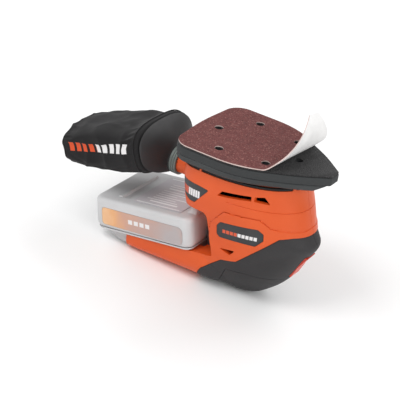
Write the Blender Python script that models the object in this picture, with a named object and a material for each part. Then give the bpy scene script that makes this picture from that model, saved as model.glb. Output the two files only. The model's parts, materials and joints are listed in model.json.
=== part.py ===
"""Detail mouse sander with a slide-on battery pack and a dust bag.

The sander lies on its back, on its grip and the end of its battery arm, with the sanding
face up and the tip of the sanding sheet peeled back. Everything is modelled in the tool
frame: its origin is the middle of the pad's rear edge on the sanding face, +X runs to the
tip of the pad and +Z stands out of the sanding face. The root empty tilts that frame until
the tool rests on the floor. Sizes are in metres.
"""
import math

import bmesh
import bpy
from mathutils import Matrix, Vector

# ---------------------------------------------------------------- driving sizes
GAP = 0.0003                     # between pieces that touch on the real tool
ARM_REAR_REST = (-0.037, -0.1275)   # x and z of the arm's resting point
CROWN_REST = (0.058, -0.1340)       # x and z of the grip's resting point
REST_SLOPE = (ARM_REAR_REST[1] - CROWN_REST[1]) / (CROWN_REST[0] - ARM_REAR_REST[0])
REST_TILT = math.atan(REST_SLOPE)

# pad, from the sanding face down
PAD_LENGTH = 0.1305
PAD_HALF_WIDTH = 0.0495
PAD_TIP_HALF_WIDTH = 0.0062
PAD_SIDE = ((0.0040, -PAD_HALF_WIDTH, 0.016), (0.0670, -PAD_HALF_WIDTH, 0.075),
            (0.1100, -0.0230, 0.120), (PAD_LENGTH, -PAD_TIP_HALF_WIDTH, 0.003))
PAD_REAR_RADIUS = 0.200
SHEET_TOP = 0.0
SHEET_THICKNESS = 0.0010
HOOK_TOP = -0.0012
HOOK_BOTTOM = -0.0023
FOAM_TOP = -0.0025
FOAM_BOTTOM = -0.0096
PLATE_TOP = -0.0098
PLATE_BOTTOM = -0.0156
PLATE_TIP_CHAMFER = 0.0130
DUST_HOLES = ((0.0182, 0.0), (0.039, -0.032), (0.039, 0.032),
              (0.080, -0.026), (0.080, 0.026), (0.096, 0.0))
SHEET_HOLE_RADIUS = 0.0040
PAD_HOLE_RADIUS = 0.0034

# peeled tip of the sheet: the fold line and three strips beyond it
FOLD_X = 0.0875
FOLD_SKEW = math.radians(3.5)
STRIP_ENDS = (0.0, 0.014, 0.028, 0.060)
STRIP_BENDS = (math.radians(32.0), math.radians(36.0), math.radians(32.0))

# drive
DRIVE_X = 0.068
ECCENTRICITY = 0.0010
MOTOR_RADIUS = 0.0175
MOTOR_LOW = -0.1120
MOTOR_HIGH = -0.0570
SHAFT_RADIUS = 0.0025
DRIVE_OPENING = 0.0180

# body: z, rear x, nose x, half width and lean of each level
HEAD_LEVELS = (
    (-0.0185, 0.0060, 0.1075, 0.0430, 0.0),
    (-0.0300, 0.0065, 0.1100, 0.0430, 0.0),
    (-0.0420, 0.0080, 0.1140, 0.0423, 0.0),
    (-0.0520, 0.0095, 0.1170, 0.0410, 0.0),
    (-0.0600, 0.0120, 0.1193, 0.0395, 0.0),
    (-0.0660, 0.0200, 0.1230, 0.0383, 0.0),
    (-0.0700, 0.0260, 0.1253, 0.0376, 0.0),
    (-0.0750, 0.0300, 0.1245, 0.0368, 0.0),
    (-0.0850, 0.0300, 0.1188, 0.0356, 0.0),
    (-0.0960, 0.0300, 0.1132, 0.0345, 0.0),
    (-0.1060, 0.0300, 0.1075, 0.0325, 0.0),
    (-0.1150, 0.0300, 0.1005, 0.0286, 0.0),
    (-0.1220, 0.0310, 0.0925, 0.0240, 0.3),
    (-0.1280, 0.0340, 0.0840, 0.0175, 0.7),
    (-0.1318, 0.0400, 0.0760, 0.0115, 1.0),
    (-0.1340, 0.0500, 0.0660, 0.0060, 1.0),
)
HEAD_MIDDLE_X = 0.035
HEAD_POINTS = 36
# arm: x, lowest z, highest z, half width and squareness of each section
ARM_SECTIONS = (
    (-0.0410, -0.1250, -0.1050, 0.0325, 4.0),
    (-0.0395, -0.1268, -0.1030, 0.0343, 4.0),
    (-0.0370, -0.1275, -0.1020, 0.0350, 3.6),
    (-0.0250, -0.1283, -0.1010, 0.0350, 3.2),
    (0.0000, -0.1292, -0.0980, 0.0346, 2.7),
    (0.0260, -0.1308, -0.0930, 0.0340, 2.3),
    (0.0420, -0.1325, -0.0900, 0.0330, 2.2),
    (0.0600, -0.1310, -0.0900, 0.0255, 2.2),
)
ARM_POINTS = 28
WALL = 0.0036
GRIP_THICKNESS = 0.0015
# side outline of the soft grip and of the crown inside it, as x and z
GRIP_EDGE = ((0.022, -0.140), (0.037, -0.114), (0.056, -0.0975), (0.069, -0.095),
             (0.103, -0.062), (0.112, -0.060), (0.140, -0.060), (0.140, -0.140))
CROWN_EDGE = ((0.044, -0.140), (0.060, -0.1065), (0.140, -0.1065), (0.140, -0.140))
HEAD_UNDERSIDE = -0.0575
PORT_Z = -0.0430
PORT_RADIUS = 0.0105
SWITCH_CENTRE = (0.1147, -0.0925)
SWITCH_LEAN = math.radians(26.6)
SCREW_SPOTS = ((0.036, -0.036), (0.1035, -0.042), (0.101, -0.066), (0.048, -0.120),
               (0.088, -0.1175), (-0.008, -0.1225))
POST_SPOTS = ((0.025, -0.027), (0.025, 0.027), (0.088, -0.015), (0.088, 0.015))

# side openings and badges, as x and z
VENTS = (
    ((0.0485, -0.0362), (0.0530, -0.0306), (0.0775, -0.0280), (0.0780, -0.0322)),
    ((0.0800, -0.0279), (0.0875, -0.0267), (0.0925, -0.0328), (0.0800, -0.0320)),
    ((0.0530, -0.0862), (0.0680, -0.0846), (0.0635, -0.0902)),
)
VENT_DEPTH = 0.0150
VENT_REACH = 0.0600
NAME_BADGE = ((0.0506, -0.0645), (0.0540, -0.0600), (0.0860, -0.0567), (0.0908, -0.0600),
              (0.0914, -0.0662), (0.0850, -0.0733), (0.0534, -0.0755), (0.0508, -0.0730))
VOLTAGE_BADGE = ((0.0080, -0.0325), (0.0300, -0.0336), (0.0407, -0.0348),
                 (0.0276, -0.0510), (0.0223, -0.0510), (0.0080, -0.0440))
BADGE_THICKNESS = 0.0012

# inner parts
SKIRT_Z = (-0.0182, -0.0162)
CHASSIS_Z = (-0.0539, -0.0516)
CHASSIS_REAR = 0.0190
POST_PROFILE = ((0.0046, -0.0513), (0.0046, -0.0480), (0.0036, -0.0460),
                (0.0036, -0.0240), (0.0046, -0.0215), (0.0046, -0.0160))
POST_OPENING = 0.0055
CAN_WALL = 0.0015
MAGNET_RADII = (0.0156, 0.0134)
MAGNET_HALF_SWEEP = math.radians(62.0)
MAGNET_Z = (-0.1020, -0.0680)
FRONT_BEARING_Z = (-0.0558, -0.0512)
FRONT_BEARING_RADIUS = 0.0079
REAR_BEARING_RADIUS = 0.0065
LEAD_RADIUS = 0.0011
BOSS_RADIUS = 0.0040

# battery pack, in its own frame, tilted against the pad
PACK_TILT = math.radians(9.3)
PACK_REAR = -0.0895
PACK_FRONT = 0.0115
PACK_HALF_WIDTH = 0.0385
PACK_TOP = -0.0746
PACK_SEAM = -0.1020
PACK_BOTTOM = -0.1042
PACK_RAIL_BOTTOM = -0.1116
PACK_ARM_FACE = -0.1050
BAY_WALL = 0.0305
CHANNEL_FLOOR = -0.1132
CELL_RADIUS = 0.0090
CELL_LENGTH = 0.065
CELL_Z = -0.0902
PACK_WALL = 0.0022

# dust bag: the adapter's rim is set back and up from the port, and the bag hangs from it
BAG_X = -0.0193
RIM_SETBACK = 0.0114
RIM_RISE = 0.0115
BAG_TILT = math.radians(19.0)
ADAPTER_WALL = 0.0022
# share of the way to the rim, half width, half height and squareness of each section
ADAPTER_SECTIONS = (
    (0.0, 0.0124, 0.0124, 2.0), (0.10, 0.0134, 0.0130, 2.0), (0.30, 0.0215, 0.0158, 2.1),
    (0.62, 0.0325, 0.0190, 2.3), (0.90, 0.0384, 0.0206, 2.5), (1.0, 0.0394, 0.0210, 2.5),
)
# distance from the rim, half width, half height and squareness of each section
BAG_SECTIONS = (
    (0.0003, 0.0394, 0.0210, 2.6), (0.010, 0.0396, 0.0214, 2.8), (0.030, 0.0390, 0.0208, 2.8),
    (0.055, 0.0375, 0.0202, 2.8), (0.074, 0.0360, 0.0190, 2.8), (0.084, 0.0340, 0.0163, 2.8),
    (0.088, 0.0312, 0.0128, 2.8),
)


# ---------------------------------------------------------------- scene and materials
def clear_scene():
    for old in list(bpy.data.objects):
        bpy.data.objects.remove(old, do_unlink=True)


def material(name, colour, roughness, metallic=0.0):
    paint = bpy.data.materials.new(name)
    paint.use_nodes = True
    shader = paint.node_tree.nodes["Principled BSDF"]
    shader.inputs["Base Color"].default_value = (*colour, 1.0)
    shader.inputs["Roughness"].default_value = roughness
    shader.inputs["Metallic"].default_value = metallic
    paint.diffuse_color = (*colour, 1.0)
    return paint


COLOURS = {
    "orange_shell": ((0.76, 0.12, 0.03), 0.42, 0.0),
    "soft_grip": ((0.050, 0.052, 0.054), 0.75, 0.0),
    "badge": ((0.030, 0.036, 0.038), 0.45, 0.0),
    "pad_plate": ((0.085, 0.098, 0.110), 0.55, 0.0),
    "pad_foam": ((0.030, 0.030, 0.032), 0.90, 0.0),
    "hook_face": ((0.040, 0.040, 0.042), 0.95, 0.0),
    "abrasive": ((0.210, 0.065, 0.055), 0.85, 0.0),
    "pack_shell": ((0.360, 0.365, 0.370), 0.50, 0.0),
    "pack_label": ((0.750, 0.400, 0.220), 0.55, 0.0),
    "rating_label": ((0.720, 0.700, 0.710), 0.50, 0.0),
    "bag_fabric": ((0.040, 0.040, 0.043), 0.92, 0.0),
    "bag_adapter": ((0.048, 0.048, 0.050), 0.55, 0.0),
    "collar": ((0.140, 0.165, 0.155), 0.50, 0.0),
    "switch_red": ((0.640, 0.070, 0.025), 0.40, 0.0),
    "inner_plastic": ((0.060, 0.060, 0.065), 0.55, 0.0),
    "rubber": ((0.020, 0.020, 0.020), 0.85, 0.0),
    "steel": ((0.560, 0.570, 0.580), 0.30, 1.0),
    "cell_wrap": ((0.080, 0.240, 0.420), 0.45, 0.0),
    "board": ((0.020, 0.160, 0.070), 0.50, 0.0),
    "lead_positive": ((0.450, 0.020, 0.020), 0.55, 0.0),
    "lead_negative": ((0.015, 0.015, 0.015), 0.55, 0.0),
}
PAINTS = {}


def paint(slot):
    if slot not in PAINTS:
        PAINTS[slot] = material(slot, *COLOURS[slot])
    return PAINTS[slot]


def empty(name, parent=None, place=(0.0, 0.0, 0.0), turn_y=0.0, turn_z=0.0):
    frame = bpy.data.objects.new(name, None)
    bpy.context.scene.collection.objects.link(frame)
    frame.parent = parent
    frame.location = place
    frame.rotation_euler = (0.0, turn_y, turn_z)
    return frame


def node(name, mesh, slot, parent, origin=(0.0, 0.0, 0.0)):
    """One sub-part, with its origin moved to the given point of its parent's frame."""
    mesh.transform(Matrix.Translation(-Vector(origin)))
    mesh.materials.clear()
    mesh.materials.append(paint(slot))
    mesh.name = name
    part = bpy.data.objects.new(name, mesh)
    bpy.context.scene.collection.objects.link(part)
    part.parent = parent
    part.location = origin
    mesh.shade_smooth()
    mesh.set_sharp_from_angle(angle=math.radians(35.0))
    return part


# ---------------------------------------------------------------- shapes
def mesh_from(form):
    bmesh.ops.triangulate(form, faces=form.faces)
    bmesh.ops.recalc_face_normals(form, faces=form.faces)
    mesh = bpy.data.meshes.new("shape")
    form.to_mesh(mesh)
    form.free()
    return mesh


def loft(rings):
    """A closed skin through rings of equal point counts, with flat ends."""
    form = bmesh.new()
    rows = [[form.verts.new(point) for point in ring] for ring in rings]
    count = len(rows[0])
    for low, high in zip(rows, rows[1:]):
        for i in range(count):
            j = (i + 1) % count
            form.faces.new((low[i], low[j], high[j], high[i]))
    form.faces.new(rows[0])
    form.faces.new(rows[-1])
    return mesh_from(form)


def prism_z(outline, low, high):
    return loft([[(x, y, z) for x, y in outline] for z in (low, high)])


def prism_y(outline, low, high):
    return loft([[(x, y, z) for x, z in outline] for y in (low, high)])


def prism_x(outline, low, high):
    return loft([[(x, y, z) for y, z in outline] for x in (low, high)])


def block(low, high):
    corners = ((low[0], low[1]), (high[0], low[1]), (high[0], high[1]), (low[0], high[1]))
    return prism_z(corners, low[2], high[2])


def turned(profile, segments=24, closed=False):
    """A profile of radius and height turned about Z; a closed one makes a ring."""
    form = bmesh.new()
    rows = []
    for radius, height in profile:
        if radius < 1e-6:
            rows.append([form.verts.new((0.0, 0.0, height))])
            continue
        turn = [2.0 * math.pi * i / segments for i in range(segments)]
        rows.append([form.verts.new((radius * math.cos(a), radius * math.sin(a), height))
                     for a in turn])
    pairs = list(zip(rows, rows[1:]))
    if closed:
        pairs.append((rows[-1], rows[0]))
    for low, high in pairs:
        for i in range(segments):
            j = (i + 1) % segments
            corners = [low[i % len(low)], low[j % len(low)],
                       high[j % len(high)], high[i % len(high)]]
            form.faces.new(list(dict.fromkeys(corners)))
    if not closed and len(rows[0]) > 1:
        form.faces.new(rows[0])
    if not closed and len(rows[-1]) > 1:
        form.faces.new(rows[-1])
    return mesh_from(form)


def rod(radius, low, high, segments=20):
    return turned(((radius, low), (radius, high)), segments)


def ring(inner, outer, low, high, segments=24):
    return turned(((inner, low), (outer, low), (outer, high), (inner, high)), segments, True)


def placed(mesh, place=(0.0, 0.0, 0.0), along="Z"):
    """Moves a mesh, after laying its Z axis along X or Y."""
    turns = {"Z": Matrix.Identity(4),
             "X": Matrix.Rotation(math.radians(90.0), 4, "Y"),
             "Y": Matrix.Rotation(math.radians(-90.0), 4, "X")}
    mesh.transform(Matrix.Translation(Vector(place)) @ turns[along])
    return mesh


def joined(meshes):
    """Several separate solids in one mesh, to serve as one cutter."""
    form = bmesh.new()
    for mesh in meshes:
        form.from_mesh(mesh)
    return mesh_from(form)


def stand(mesh):
    helper = bpy.data.objects.new("boolean_step", mesh)
    bpy.context.scene.collection.objects.link(helper)
    return helper


def combined(base, *steps):
    """Applies Boolean steps one after another, each an operation and a mesh."""
    result = base
    for operation, mesh in steps:
        body = stand(result)
        cutter = stand(mesh)
        cutter.hide_render = True
        cutter.display_type = "WIRE"
        step = body.modifiers.new(operation, "BOOLEAN")
        step.operation = operation
        step.solver = "EXACT"
        step.object = cutter
        evaluated = body.evaluated_get(bpy.context.evaluated_depsgraph_get())
        result = tidied(bpy.data.meshes.new_from_object(evaluated))
        bpy.data.objects.remove(body, do_unlink=True)
        bpy.data.objects.remove(cutter, do_unlink=True)
    return result


def tidied(mesh):
    form = bmesh.new()
    form.from_mesh(mesh)
    bmesh.ops.remove_doubles(form, verts=form.verts, dist=0.000002)
    bmesh.ops.triangulate(form, faces=form.faces)
    form.to_mesh(mesh)
    form.free()
    return mesh


def cut(base, *meshes):
    return combined(base, *[("DIFFERENCE", mesh) for mesh in meshes])


def added(base, *meshes):
    return combined(base, *[("UNION", mesh) for mesh in meshes])


def kept(base, mesh):
    return combined(base, ("INTERSECT", mesh))


def shrunk(mesh, depth):
    """The same skin moved inward by an even depth."""
    form = bmesh.new()
    form.from_mesh(mesh)
    form.normal_update()
    moves = [(v, v.co - v.normal * depth * v.calc_shell_factor()) for v in form.verts]
    for vertex, place in moves:
        vertex.co = place
    return mesh_from(form)


# ---------------------------------------------------------------- outlines
def oval_point(turn, half_length, half_width, squareness):
    power = 2.0 / squareness
    c = math.cos(turn)
    s = math.sin(turn)
    return (math.copysign(abs(c) ** power, c) * half_length,
            math.copysign(abs(s) ** power, s) * half_width)


def offset_corners(corners, depth):
    """Corners of x, y and radius, moved inward; they run counter-clockwise."""
    moved = []
    count = len(corners)
    for i, (x, y, radius) in enumerate(corners):
        before = Vector(corners[i - 1][:2])
        here = Vector((x, y))
        after = Vector(corners[(i + 1) % count][:2])
        first = (here - before).normalized()
        second = (after - here).normalized()
        inward_first = Vector((-first.y, first.x))
        inward_second = Vector((-second.y, second.x))
        bisector = (inward_first + inward_second).normalized()
        reach = depth / max(0.2, bisector.dot(inward_first))
        spot = here + bisector * reach
        moved.append((spot.x, spot.y, max(0.0004, radius - depth)))
    return moved


def rounded(corners, step=math.radians(12.0)):
    """A closed outline whose corners of x, y and radius are arcs."""
    outline = []
    count = len(corners)
    for i, (x, y, radius) in enumerate(corners):
        before = Vector(corners[i - 1][:2])
        here = Vector((x, y))
        after = Vector(corners[(i + 1) % count][:2])
        first = (here - before).normalized()
        second = (after - here).normalized()
        turn = first.angle_signed(second) * -1.0
        reach = radius * math.tan(abs(turn) / 2.0)
        start = here - first * reach
        side = math.copysign(1.0, turn)
        centre = start + Vector((-first.y, first.x)) * radius * side
        pieces = max(1, math.ceil(abs(turn) / step))
        for k in range(pieces + 1):
            angle = turn * k / pieces
            spoke = start - centre
            outline.append((centre.x + spoke.x * math.cos(angle) - spoke.y * math.sin(angle),
                            centre.y + spoke.x * math.sin(angle) + spoke.y * math.cos(angle)))
    return outline


def pad_corners():
    mirrored = [(x, -y, radius) for x, y, radius in reversed(PAD_SIDE)]
    return list(PAD_SIDE) + mirrored + [(0.0, 0.0, PAD_REAR_RADIUS)]


def pad_outline(inset=0.0):
    return rounded(offset_corners(pad_corners(), inset))


def pack_to_tool(x, z):
    """A point of the pack's frame, as x and z of the tool frame."""
    return (x * math.cos(PACK_TILT) - z * math.sin(PACK_TILT),
            z * math.cos(PACK_TILT) + x * math.sin(PACK_TILT))


# ---------------------------------------------------------------- body solids
def head_levels(inset):
    """The head's levels, moved inward along the normals of their side profiles."""
    levels = []
    last = len(HEAD_LEVELS) - 1
    for i, (z, rear, nose, half_width, lean) in enumerate(HEAD_LEVELS):
        above = HEAD_LEVELS[max(i - 1, 0)]
        below = HEAD_LEVELS[min(i + 1, last)]
        drop = above[0] - below[0]
        slopes = [(above[k] - below[k]) / drop for k in (1, 2, 3)]
        rise = inset * slopes[2] / math.hypot(1.0, slopes[2])
        if i == 0:
            rise = -inset
        if i == last:
            rise = inset
        reach = [inset * math.hypot(1.0, slope) for slope in slopes]
        middle = HEAD_MIDDLE_X if rear < HEAD_MIDDLE_X - 0.002 else (rear + nose) / 2.0
        levels.append((z + rise, rear + slopes[0] * rise + reach[0],
                       nose + slopes[1] * rise - reach[1],
                       half_width + slopes[2] * rise - reach[2], lean, middle))
    return levels


def head_skin(inset=0.0):
    rings = []
    for z, rear, nose, half_width, lean, middle in head_levels(inset):
        level = []
        for i in range(HEAD_POINTS):
            turn = 2.0 * math.pi * (i + 0.5) / HEAD_POINTS
            front = math.cos(turn) > 0.0
            reach = nose - middle if front else middle - rear
            x, y = oval_point(turn, reach, half_width, 2.2 if front else 3.6)
            x += middle
            level.append((x, y, z - lean * REST_SLOPE * (x - CROWN_REST[0])))
        rings.append(level)
    return loft(rings)


def arm_skin():
    rings = []
    for x, low, high, half_width, squareness in ARM_SECTIONS:
        section = []
        for i in range(ARM_POINTS):
            turn = 2.0 * math.pi * (i + 0.5) / ARM_POINTS
            upper = math.sin(turn) > 0.0
            y, z = oval_point(turn, half_width, (high - low) / 2.0, 5.0 if upper else squareness)
            section.append((x, y, z + (high + low) / 2.0))
        rings.append(section)
    return loft(rings)


def bay_corners():
    """Side outline of the space between the head and the arm, which holds the pack."""
    wall_top = pack_to_tool(BAY_WALL, HEAD_UNDERSIDE)
    wall_foot = pack_to_tool(BAY_WALL, PACK_ARM_FACE)
    rear_foot = pack_to_tool(-0.140, PACK_ARM_FACE)
    return [(rear_foot[0], rear_foot[1], 0.0005), (wall_foot[0], wall_foot[1], 0.0020),
            (wall_top[0], HEAD_UNDERSIDE, 0.0060), (-0.140, HEAD_UNDERSIDE, 0.0005)]


def bay_solid(growth=0.0):
    return prism_y(rounded(offset_corners(bay_corners(), -growth)), -0.08, 0.08)


def channel_solid():
    """The T-shaped slot that the pack's rails slide in."""
    half = ((0.0200, -0.1000), (0.0200, -0.1072), (0.0236, -0.1072), (0.0236, CHANNEL_FLOOR))
    outline = [*half, *[(-y, z) for y, z in reversed(half)]]
    slot = prism_x(outline, -0.0750, 0.0140)
    slot.transform(Matrix.Rotation(-PACK_TILT, 4, "Y"))
    return slot


def screw_wells():
    """Stepped holes across the joint: counterbored on the right, pilot holes on the left."""
    profile = ((0.0019, -0.0110), (0.0019, 0.0140), (0.0033, 0.0140), (0.0033, 0.0600))
    return [placed(turned(profile, 16), (x, 0.0, z), "Y") for x, z in SCREW_SPOTS]


def switch_window():
    window = block((-0.0100, -0.0076, -0.0138), (0.0200, 0.0076, 0.0138))
    window.transform(switch_matrix())
    return window


def switch_matrix():
    x, z = SWITCH_CENTRE
    return Matrix.Translation((x, 0.0, z)) @ Matrix.Rotation(SWITCH_LEAN, 4, "Y")


def vent_cuts():
    """Two slots in each side of the head and one small slot by the grip."""
    cuts = []
    for outline in VENTS:
        cuts.append(prism_y(outline, VENT_DEPTH, VENT_REACH))
        cuts.append(prism_y(outline, -VENT_REACH, -VENT_DEPTH))
    return cuts


def badge_zone(outline, side, growth):
    centre_x = sum(x for x, z in outline) / len(outline)
    centre_z = sum(z for x, z in outline) / len(outline)
    grown = []
    for x, z in outline:
        away = Vector((x - centre_x, z - centre_z))
        away += away.normalized() * growth
        grown.append((centre_x + away.x, centre_z + away.y))
    low, high = sorted((side * 0.0150, side * 0.0700))
    return prism_y(grown, low, high)


def badge(head, outline, side):
    """A thin plate that follows the shell's surface."""
    layer = kept(head, badge_zone(outline, side, 0.0))
    return cut(layer, head_skin(BADGE_THICKNESS))


def badge_recess(outline, side):
    return cut(badge_zone(outline, side, GAP), head_skin(BADGE_THICKNESS + GAP))


def add_body_shells(tool):
    head = head_skin()
    arm = arm_skin()
    outer = added(head, arm)
    grip_zone = prism_y(GRIP_EDGE, -0.08, 0.08)
    under_grip = added(head_skin(GRIP_THICKNESS + GAP), shrunk(arm, GRIP_THICKNESS + GAP))
    core = added(cut(outer, grip_zone), under_grip)
    bosses = joined([placed(rod(BOSS_RADIUS, -0.06, 0.06, 14), (x, 0.0, z), "Y")
                     for x, z in SCREW_SPOTS[:5]])
    cavity = cut(head_skin(WALL), bay_solid(0.0032), bosses)
    openings = [placed(rod(DRIVE_OPENING, -0.0300, -0.0100, 32), (DRIVE_X, 0.0, 0.0))]
    openings += [placed(rod(POST_OPENING, -0.0300, -0.0100, 16), (x, y, 0.0))
                 for x, y in POST_SPOTS]
    openings.append(placed(rod(PORT_RADIUS + GAP, -0.0200, 0.0180, 28), (0.0, 0.0, PORT_Z), "X"))
    shell = cut(core, bay_solid(), channel_solid(), cavity)
    shell = cut(shell, joined(openings), switch_window(), joined(vent_cuts()))
    left = block((-0.2, -0.1, -0.2), (0.2, -GAP / 2.0, 0.1))
    right = block((-0.2, GAP / 2.0, -0.2), (0.2, 0.1, 0.1))
    for name, half, side in (("left", left, -1.0), ("right", right, 1.0)):
        shell_half = kept(shell, half)
        for outline in (NAME_BADGE, VOLTAGE_BADGE):
            shell_half = cut(shell_half, badge_recess(outline, side))
        for well in screw_wells():
            shell_half = cut(shell_half, well)
        node("housing_" + name, shell_half, "orange_shell", tool)
    for name, outline in (("name_badge", NAME_BADGE), ("voltage_badge", VOLTAGE_BADGE)):
        node(name + "_left", badge(head, outline, -1.0), "badge", tool)
        node(name + "_right", badge(head, outline, 1.0), "badge", tool)
    inner = added(head_skin(GRIP_THICKNESS), shrunk(arm, GRIP_THICKNESS))
    shrunk_zone = [(x + GAP, z - GAP) for x, z in GRIP_EDGE[:6]] + list(GRIP_EDGE[6:])
    grip = kept(outer, prism_y(shrunk_zone, -0.08, 0.08))
    grip = cut(grip, inner, bay_solid(), switch_window())
    grip = cut(grip, *screw_wells())
    crown_zone = prism_y(CROWN_EDGE, -0.08, 0.08)
    grown_crown = [(CROWN_EDGE[0][0] - GAP, CROWN_EDGE[0][1]),
                   (CROWN_EDGE[1][0] - GAP, CROWN_EDGE[1][1] + GAP),
                   (CROWN_EDGE[2][0], CROWN_EDGE[2][1] + GAP), CROWN_EDGE[3]]
    sides = cut(grip, prism_y(grown_crown, -0.08, 0.08))
    node("grip_left", kept(sides, left), "soft_grip", tool)
    node("grip_right", kept(sides, right), "soft_grip", tool)
    node("grip_crown", kept(grip, crown_zone), "soft_grip", tool)


def add_port_and_inner_parts(tool):
    bore = PORT_RADIUS - 0.0018
    port = turned(((bore, -0.0185), (PORT_RADIUS - 0.0006, -0.0185), (PORT_RADIUS, -0.0177),
                   (PORT_RADIUS, 0.0165), (bore, 0.0165)), 28, True)
    node("dust_port", placed(port, (0.0, 0.0, PORT_Z), "X"), "orange_shell", tool)
    skirt = cut(prism_z(head_outline(0, 0.0055), *SKIRT_Z),
                prism_z(head_outline(0, 0.0072), SKIRT_Z[0] - 0.002, SKIRT_Z[1] + 0.001))
    node("dust_skirt", skirt, "rubber", tool)
    chassis = cut(prism_z(chassis_outline(), *CHASSIS_Z),
                  placed(rod(0.0083, -0.06, -0.05, 24), (DRIVE_X, 0.0, 0.0)))
    node("chassis_plate", chassis, "inner_plastic", tool)
    for i, (x, y) in enumerate(POST_SPOTS):
        node(f"flex_post_{i + 1}", placed(turned(POST_PROFILE, 18), (x, y, 0.0)), "rubber", tool)
    add_motor(tool)
    add_wiring(tool)
    for i, (x, z) in enumerate(SCREW_SPOTS):
        screw = turned(((0.0015, -0.0100), (0.0015, 0.0143), (0.0029, 0.0143),
                        (0.0029, 0.0160), (0.0022, 0.0170)), 16)
        node(f"housing_screw_{i + 1}", placed(screw, (x, 0.0, z), "Y"), "steel", tool)


def add_motor(tool):
    """The motor's still parts: its can, end cap, magnets and bearings."""
    inner = MOTOR_RADIUS - CAN_WALL
    can = turned(((inner, MOTOR_LOW), (MOTOR_RADIUS, MOTOR_LOW),
                  (MOTOR_RADIUS, MOTOR_HIGH - 0.0012), (MOTOR_RADIUS - 0.0012, MOTOR_HIGH),
                  (0.0045, MOTOR_HIGH), (0.0045, MOTOR_HIGH - 0.0018),
                  (inner, MOTOR_HIGH - 0.0018)), 28, True)
    node("motor_can", placed(can, (DRIVE_X, 0.0, 0.0)), "steel", tool)
    cap = ring(0.0032, MOTOR_RADIUS - 0.0018, MOTOR_LOW + 0.0004, MOTOR_LOW + 0.0034, 28)
    node("motor_end_cap", placed(cap, (DRIVE_X, 0.0, 0.0)), "inner_plastic", tool)
    for side, name in ((-1.0, "left"), (1.0, "right")):
        node("motor_magnet_" + name, magnet(side), "rubber", tool)
    bore = SHAFT_RADIUS + 0.0004
    front = ring(bore, FRONT_BEARING_RADIUS, *FRONT_BEARING_Z)
    node("front_bearing", placed(front, (DRIVE_X, 0.0, 0.0)), "steel", tool)
    rear = ring(bore, REAR_BEARING_RADIUS, MOTOR_LOW - 0.0046, MOTOR_LOW - GAP)
    node("rear_bearing", placed(rear, (DRIVE_X, 0.0, 0.0)), "steel", tool)


def add_wiring(tool):
    """Board, pack terminals, leads and the body of the switch."""
    node("circuit_board", block((0.0570, -0.0100, -0.1220), (0.0770, 0.0100, -0.1204)),
         "board", tool)
    terminal = block((0.0145, -0.0160, PACK_ARM_FACE + GAP), (0.0200, 0.0160, -0.0880))
    terminal.transform(Matrix.Rotation(-PACK_TILT, 4, "Y"))
    node("terminal_block", terminal, "inner_plastic", tool)
    for side, name in ((-1.0, "positive"), (1.0, "negative")):
        lead = placed(rod(LEAD_RADIUS, 0.0500, 0.0850, 10), (0.0, side * 0.0212, -0.1000), "X")
        node("lead_" + name, lead, "lead_" + name, tool)
    body = block((-0.0230, -0.0065, -0.0110), (-0.0062, 0.0065, 0.0110))
    body.transform(switch_matrix())
    node("switch_body", body, "inner_plastic", tool)


def head_outline(level, inset):
    """Plan outline of the head at one of its levels."""
    z, rear, nose, half_width, lean = HEAD_LEVELS[level]
    outline = []
    for i in range(HEAD_POINTS):
        turn = 2.0 * math.pi * (i + 0.5) / HEAD_POINTS
        front = math.cos(turn) > 0.0
        reach = (nose if front else 2.0 * HEAD_MIDDLE_X - rear) - HEAD_MIDDLE_X - inset
        x, y = oval_point(turn, reach, half_width - inset, 2.2 if front else 3.6)
        outline.append((x + HEAD_MIDDLE_X, y))
    return outline


def chassis_outline():
    return [(max(x, CHASSIS_REAR), y) for x, y in head_outline(3, WALL + 0.0012)]


def magnet(side):
    """One curved magnet inside the motor can."""
    outline = []
    steps = 10
    for radius, order in zip(MAGNET_RADII, (range(steps + 1), range(steps, -1, -1))):
        for k in order:
            angle = MAGNET_HALF_SWEEP * (2.0 * k / steps - 1.0) + side * math.pi / 2.0
            outline.append((DRIVE_X + radius * math.cos(angle), radius * math.sin(angle)))
    return prism_z(outline, *MAGNET_Z)


def add_rotor(axis):
    """Everything that turns with the motor; the mesh is modelled round the motor's axis."""
    armature = turned(((SHAFT_RADIUS, -0.1150), (SHAFT_RADIUS, -0.1080), (0.0056, -0.1080),
                       (0.0056, -0.1030), (SHAFT_RADIUS, -0.1030), (SHAFT_RADIUS, -0.1000),
                       (0.0126, -0.0990), (0.0126, -0.0700), (SHAFT_RADIUS, -0.0690),
                       (SHAFT_RADIUS, -0.0285)), 24)
    node("motor_armature", armature, "steel", axis)
    disc = turned(((SHAFT_RADIUS + GAP, -0.0508), (0.0190, -0.0508), (0.0190, -0.0492),
                   (0.0066, -0.0492), (0.0066, -0.0396), (SHAFT_RADIUS + GAP, -0.0396)), 32, True)
    blades = []
    for k in range(8):
        blade = block((0.0058, -0.0008, -0.0498), (0.0185, 0.0008, -0.0400))
        blade.transform(Matrix.Rotation(math.radians(45.0 * k), 4, "Z"))
        blades.append(blade)
    node("dust_fan", added(disc, *blades), "inner_plastic", axis)
    sleeve = rod(0.0070, -0.0385, -0.0243, 24)
    weight = sector(0.0170, math.radians(150.0), -0.0375, -0.0300)
    spigot = placed(rod(0.0039, -0.0260, -0.0162, 20), (ECCENTRICITY, 0.0, 0.0))
    bore = rod(SHAFT_RADIUS + GAP, -0.0400, -0.0282, 20)
    thread = placed(rod(0.0021, -0.0235, -0.0150, 16), (ECCENTRICITY, 0.0, 0.0))
    hub = cut(added(sleeve, weight, spigot), bore, thread)
    node("eccentric_hub", hub, "steel", axis)
    screw = turned(((0.0018, -0.0230), (0.0018, -0.0159), (0.0055, -0.0159),
                    (0.0055, -0.0135), (0.0045, -0.0125)), 18)
    node("pad_screw", placed(screw, (ECCENTRICITY, 0.0, 0.0)), "steel", axis)


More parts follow.
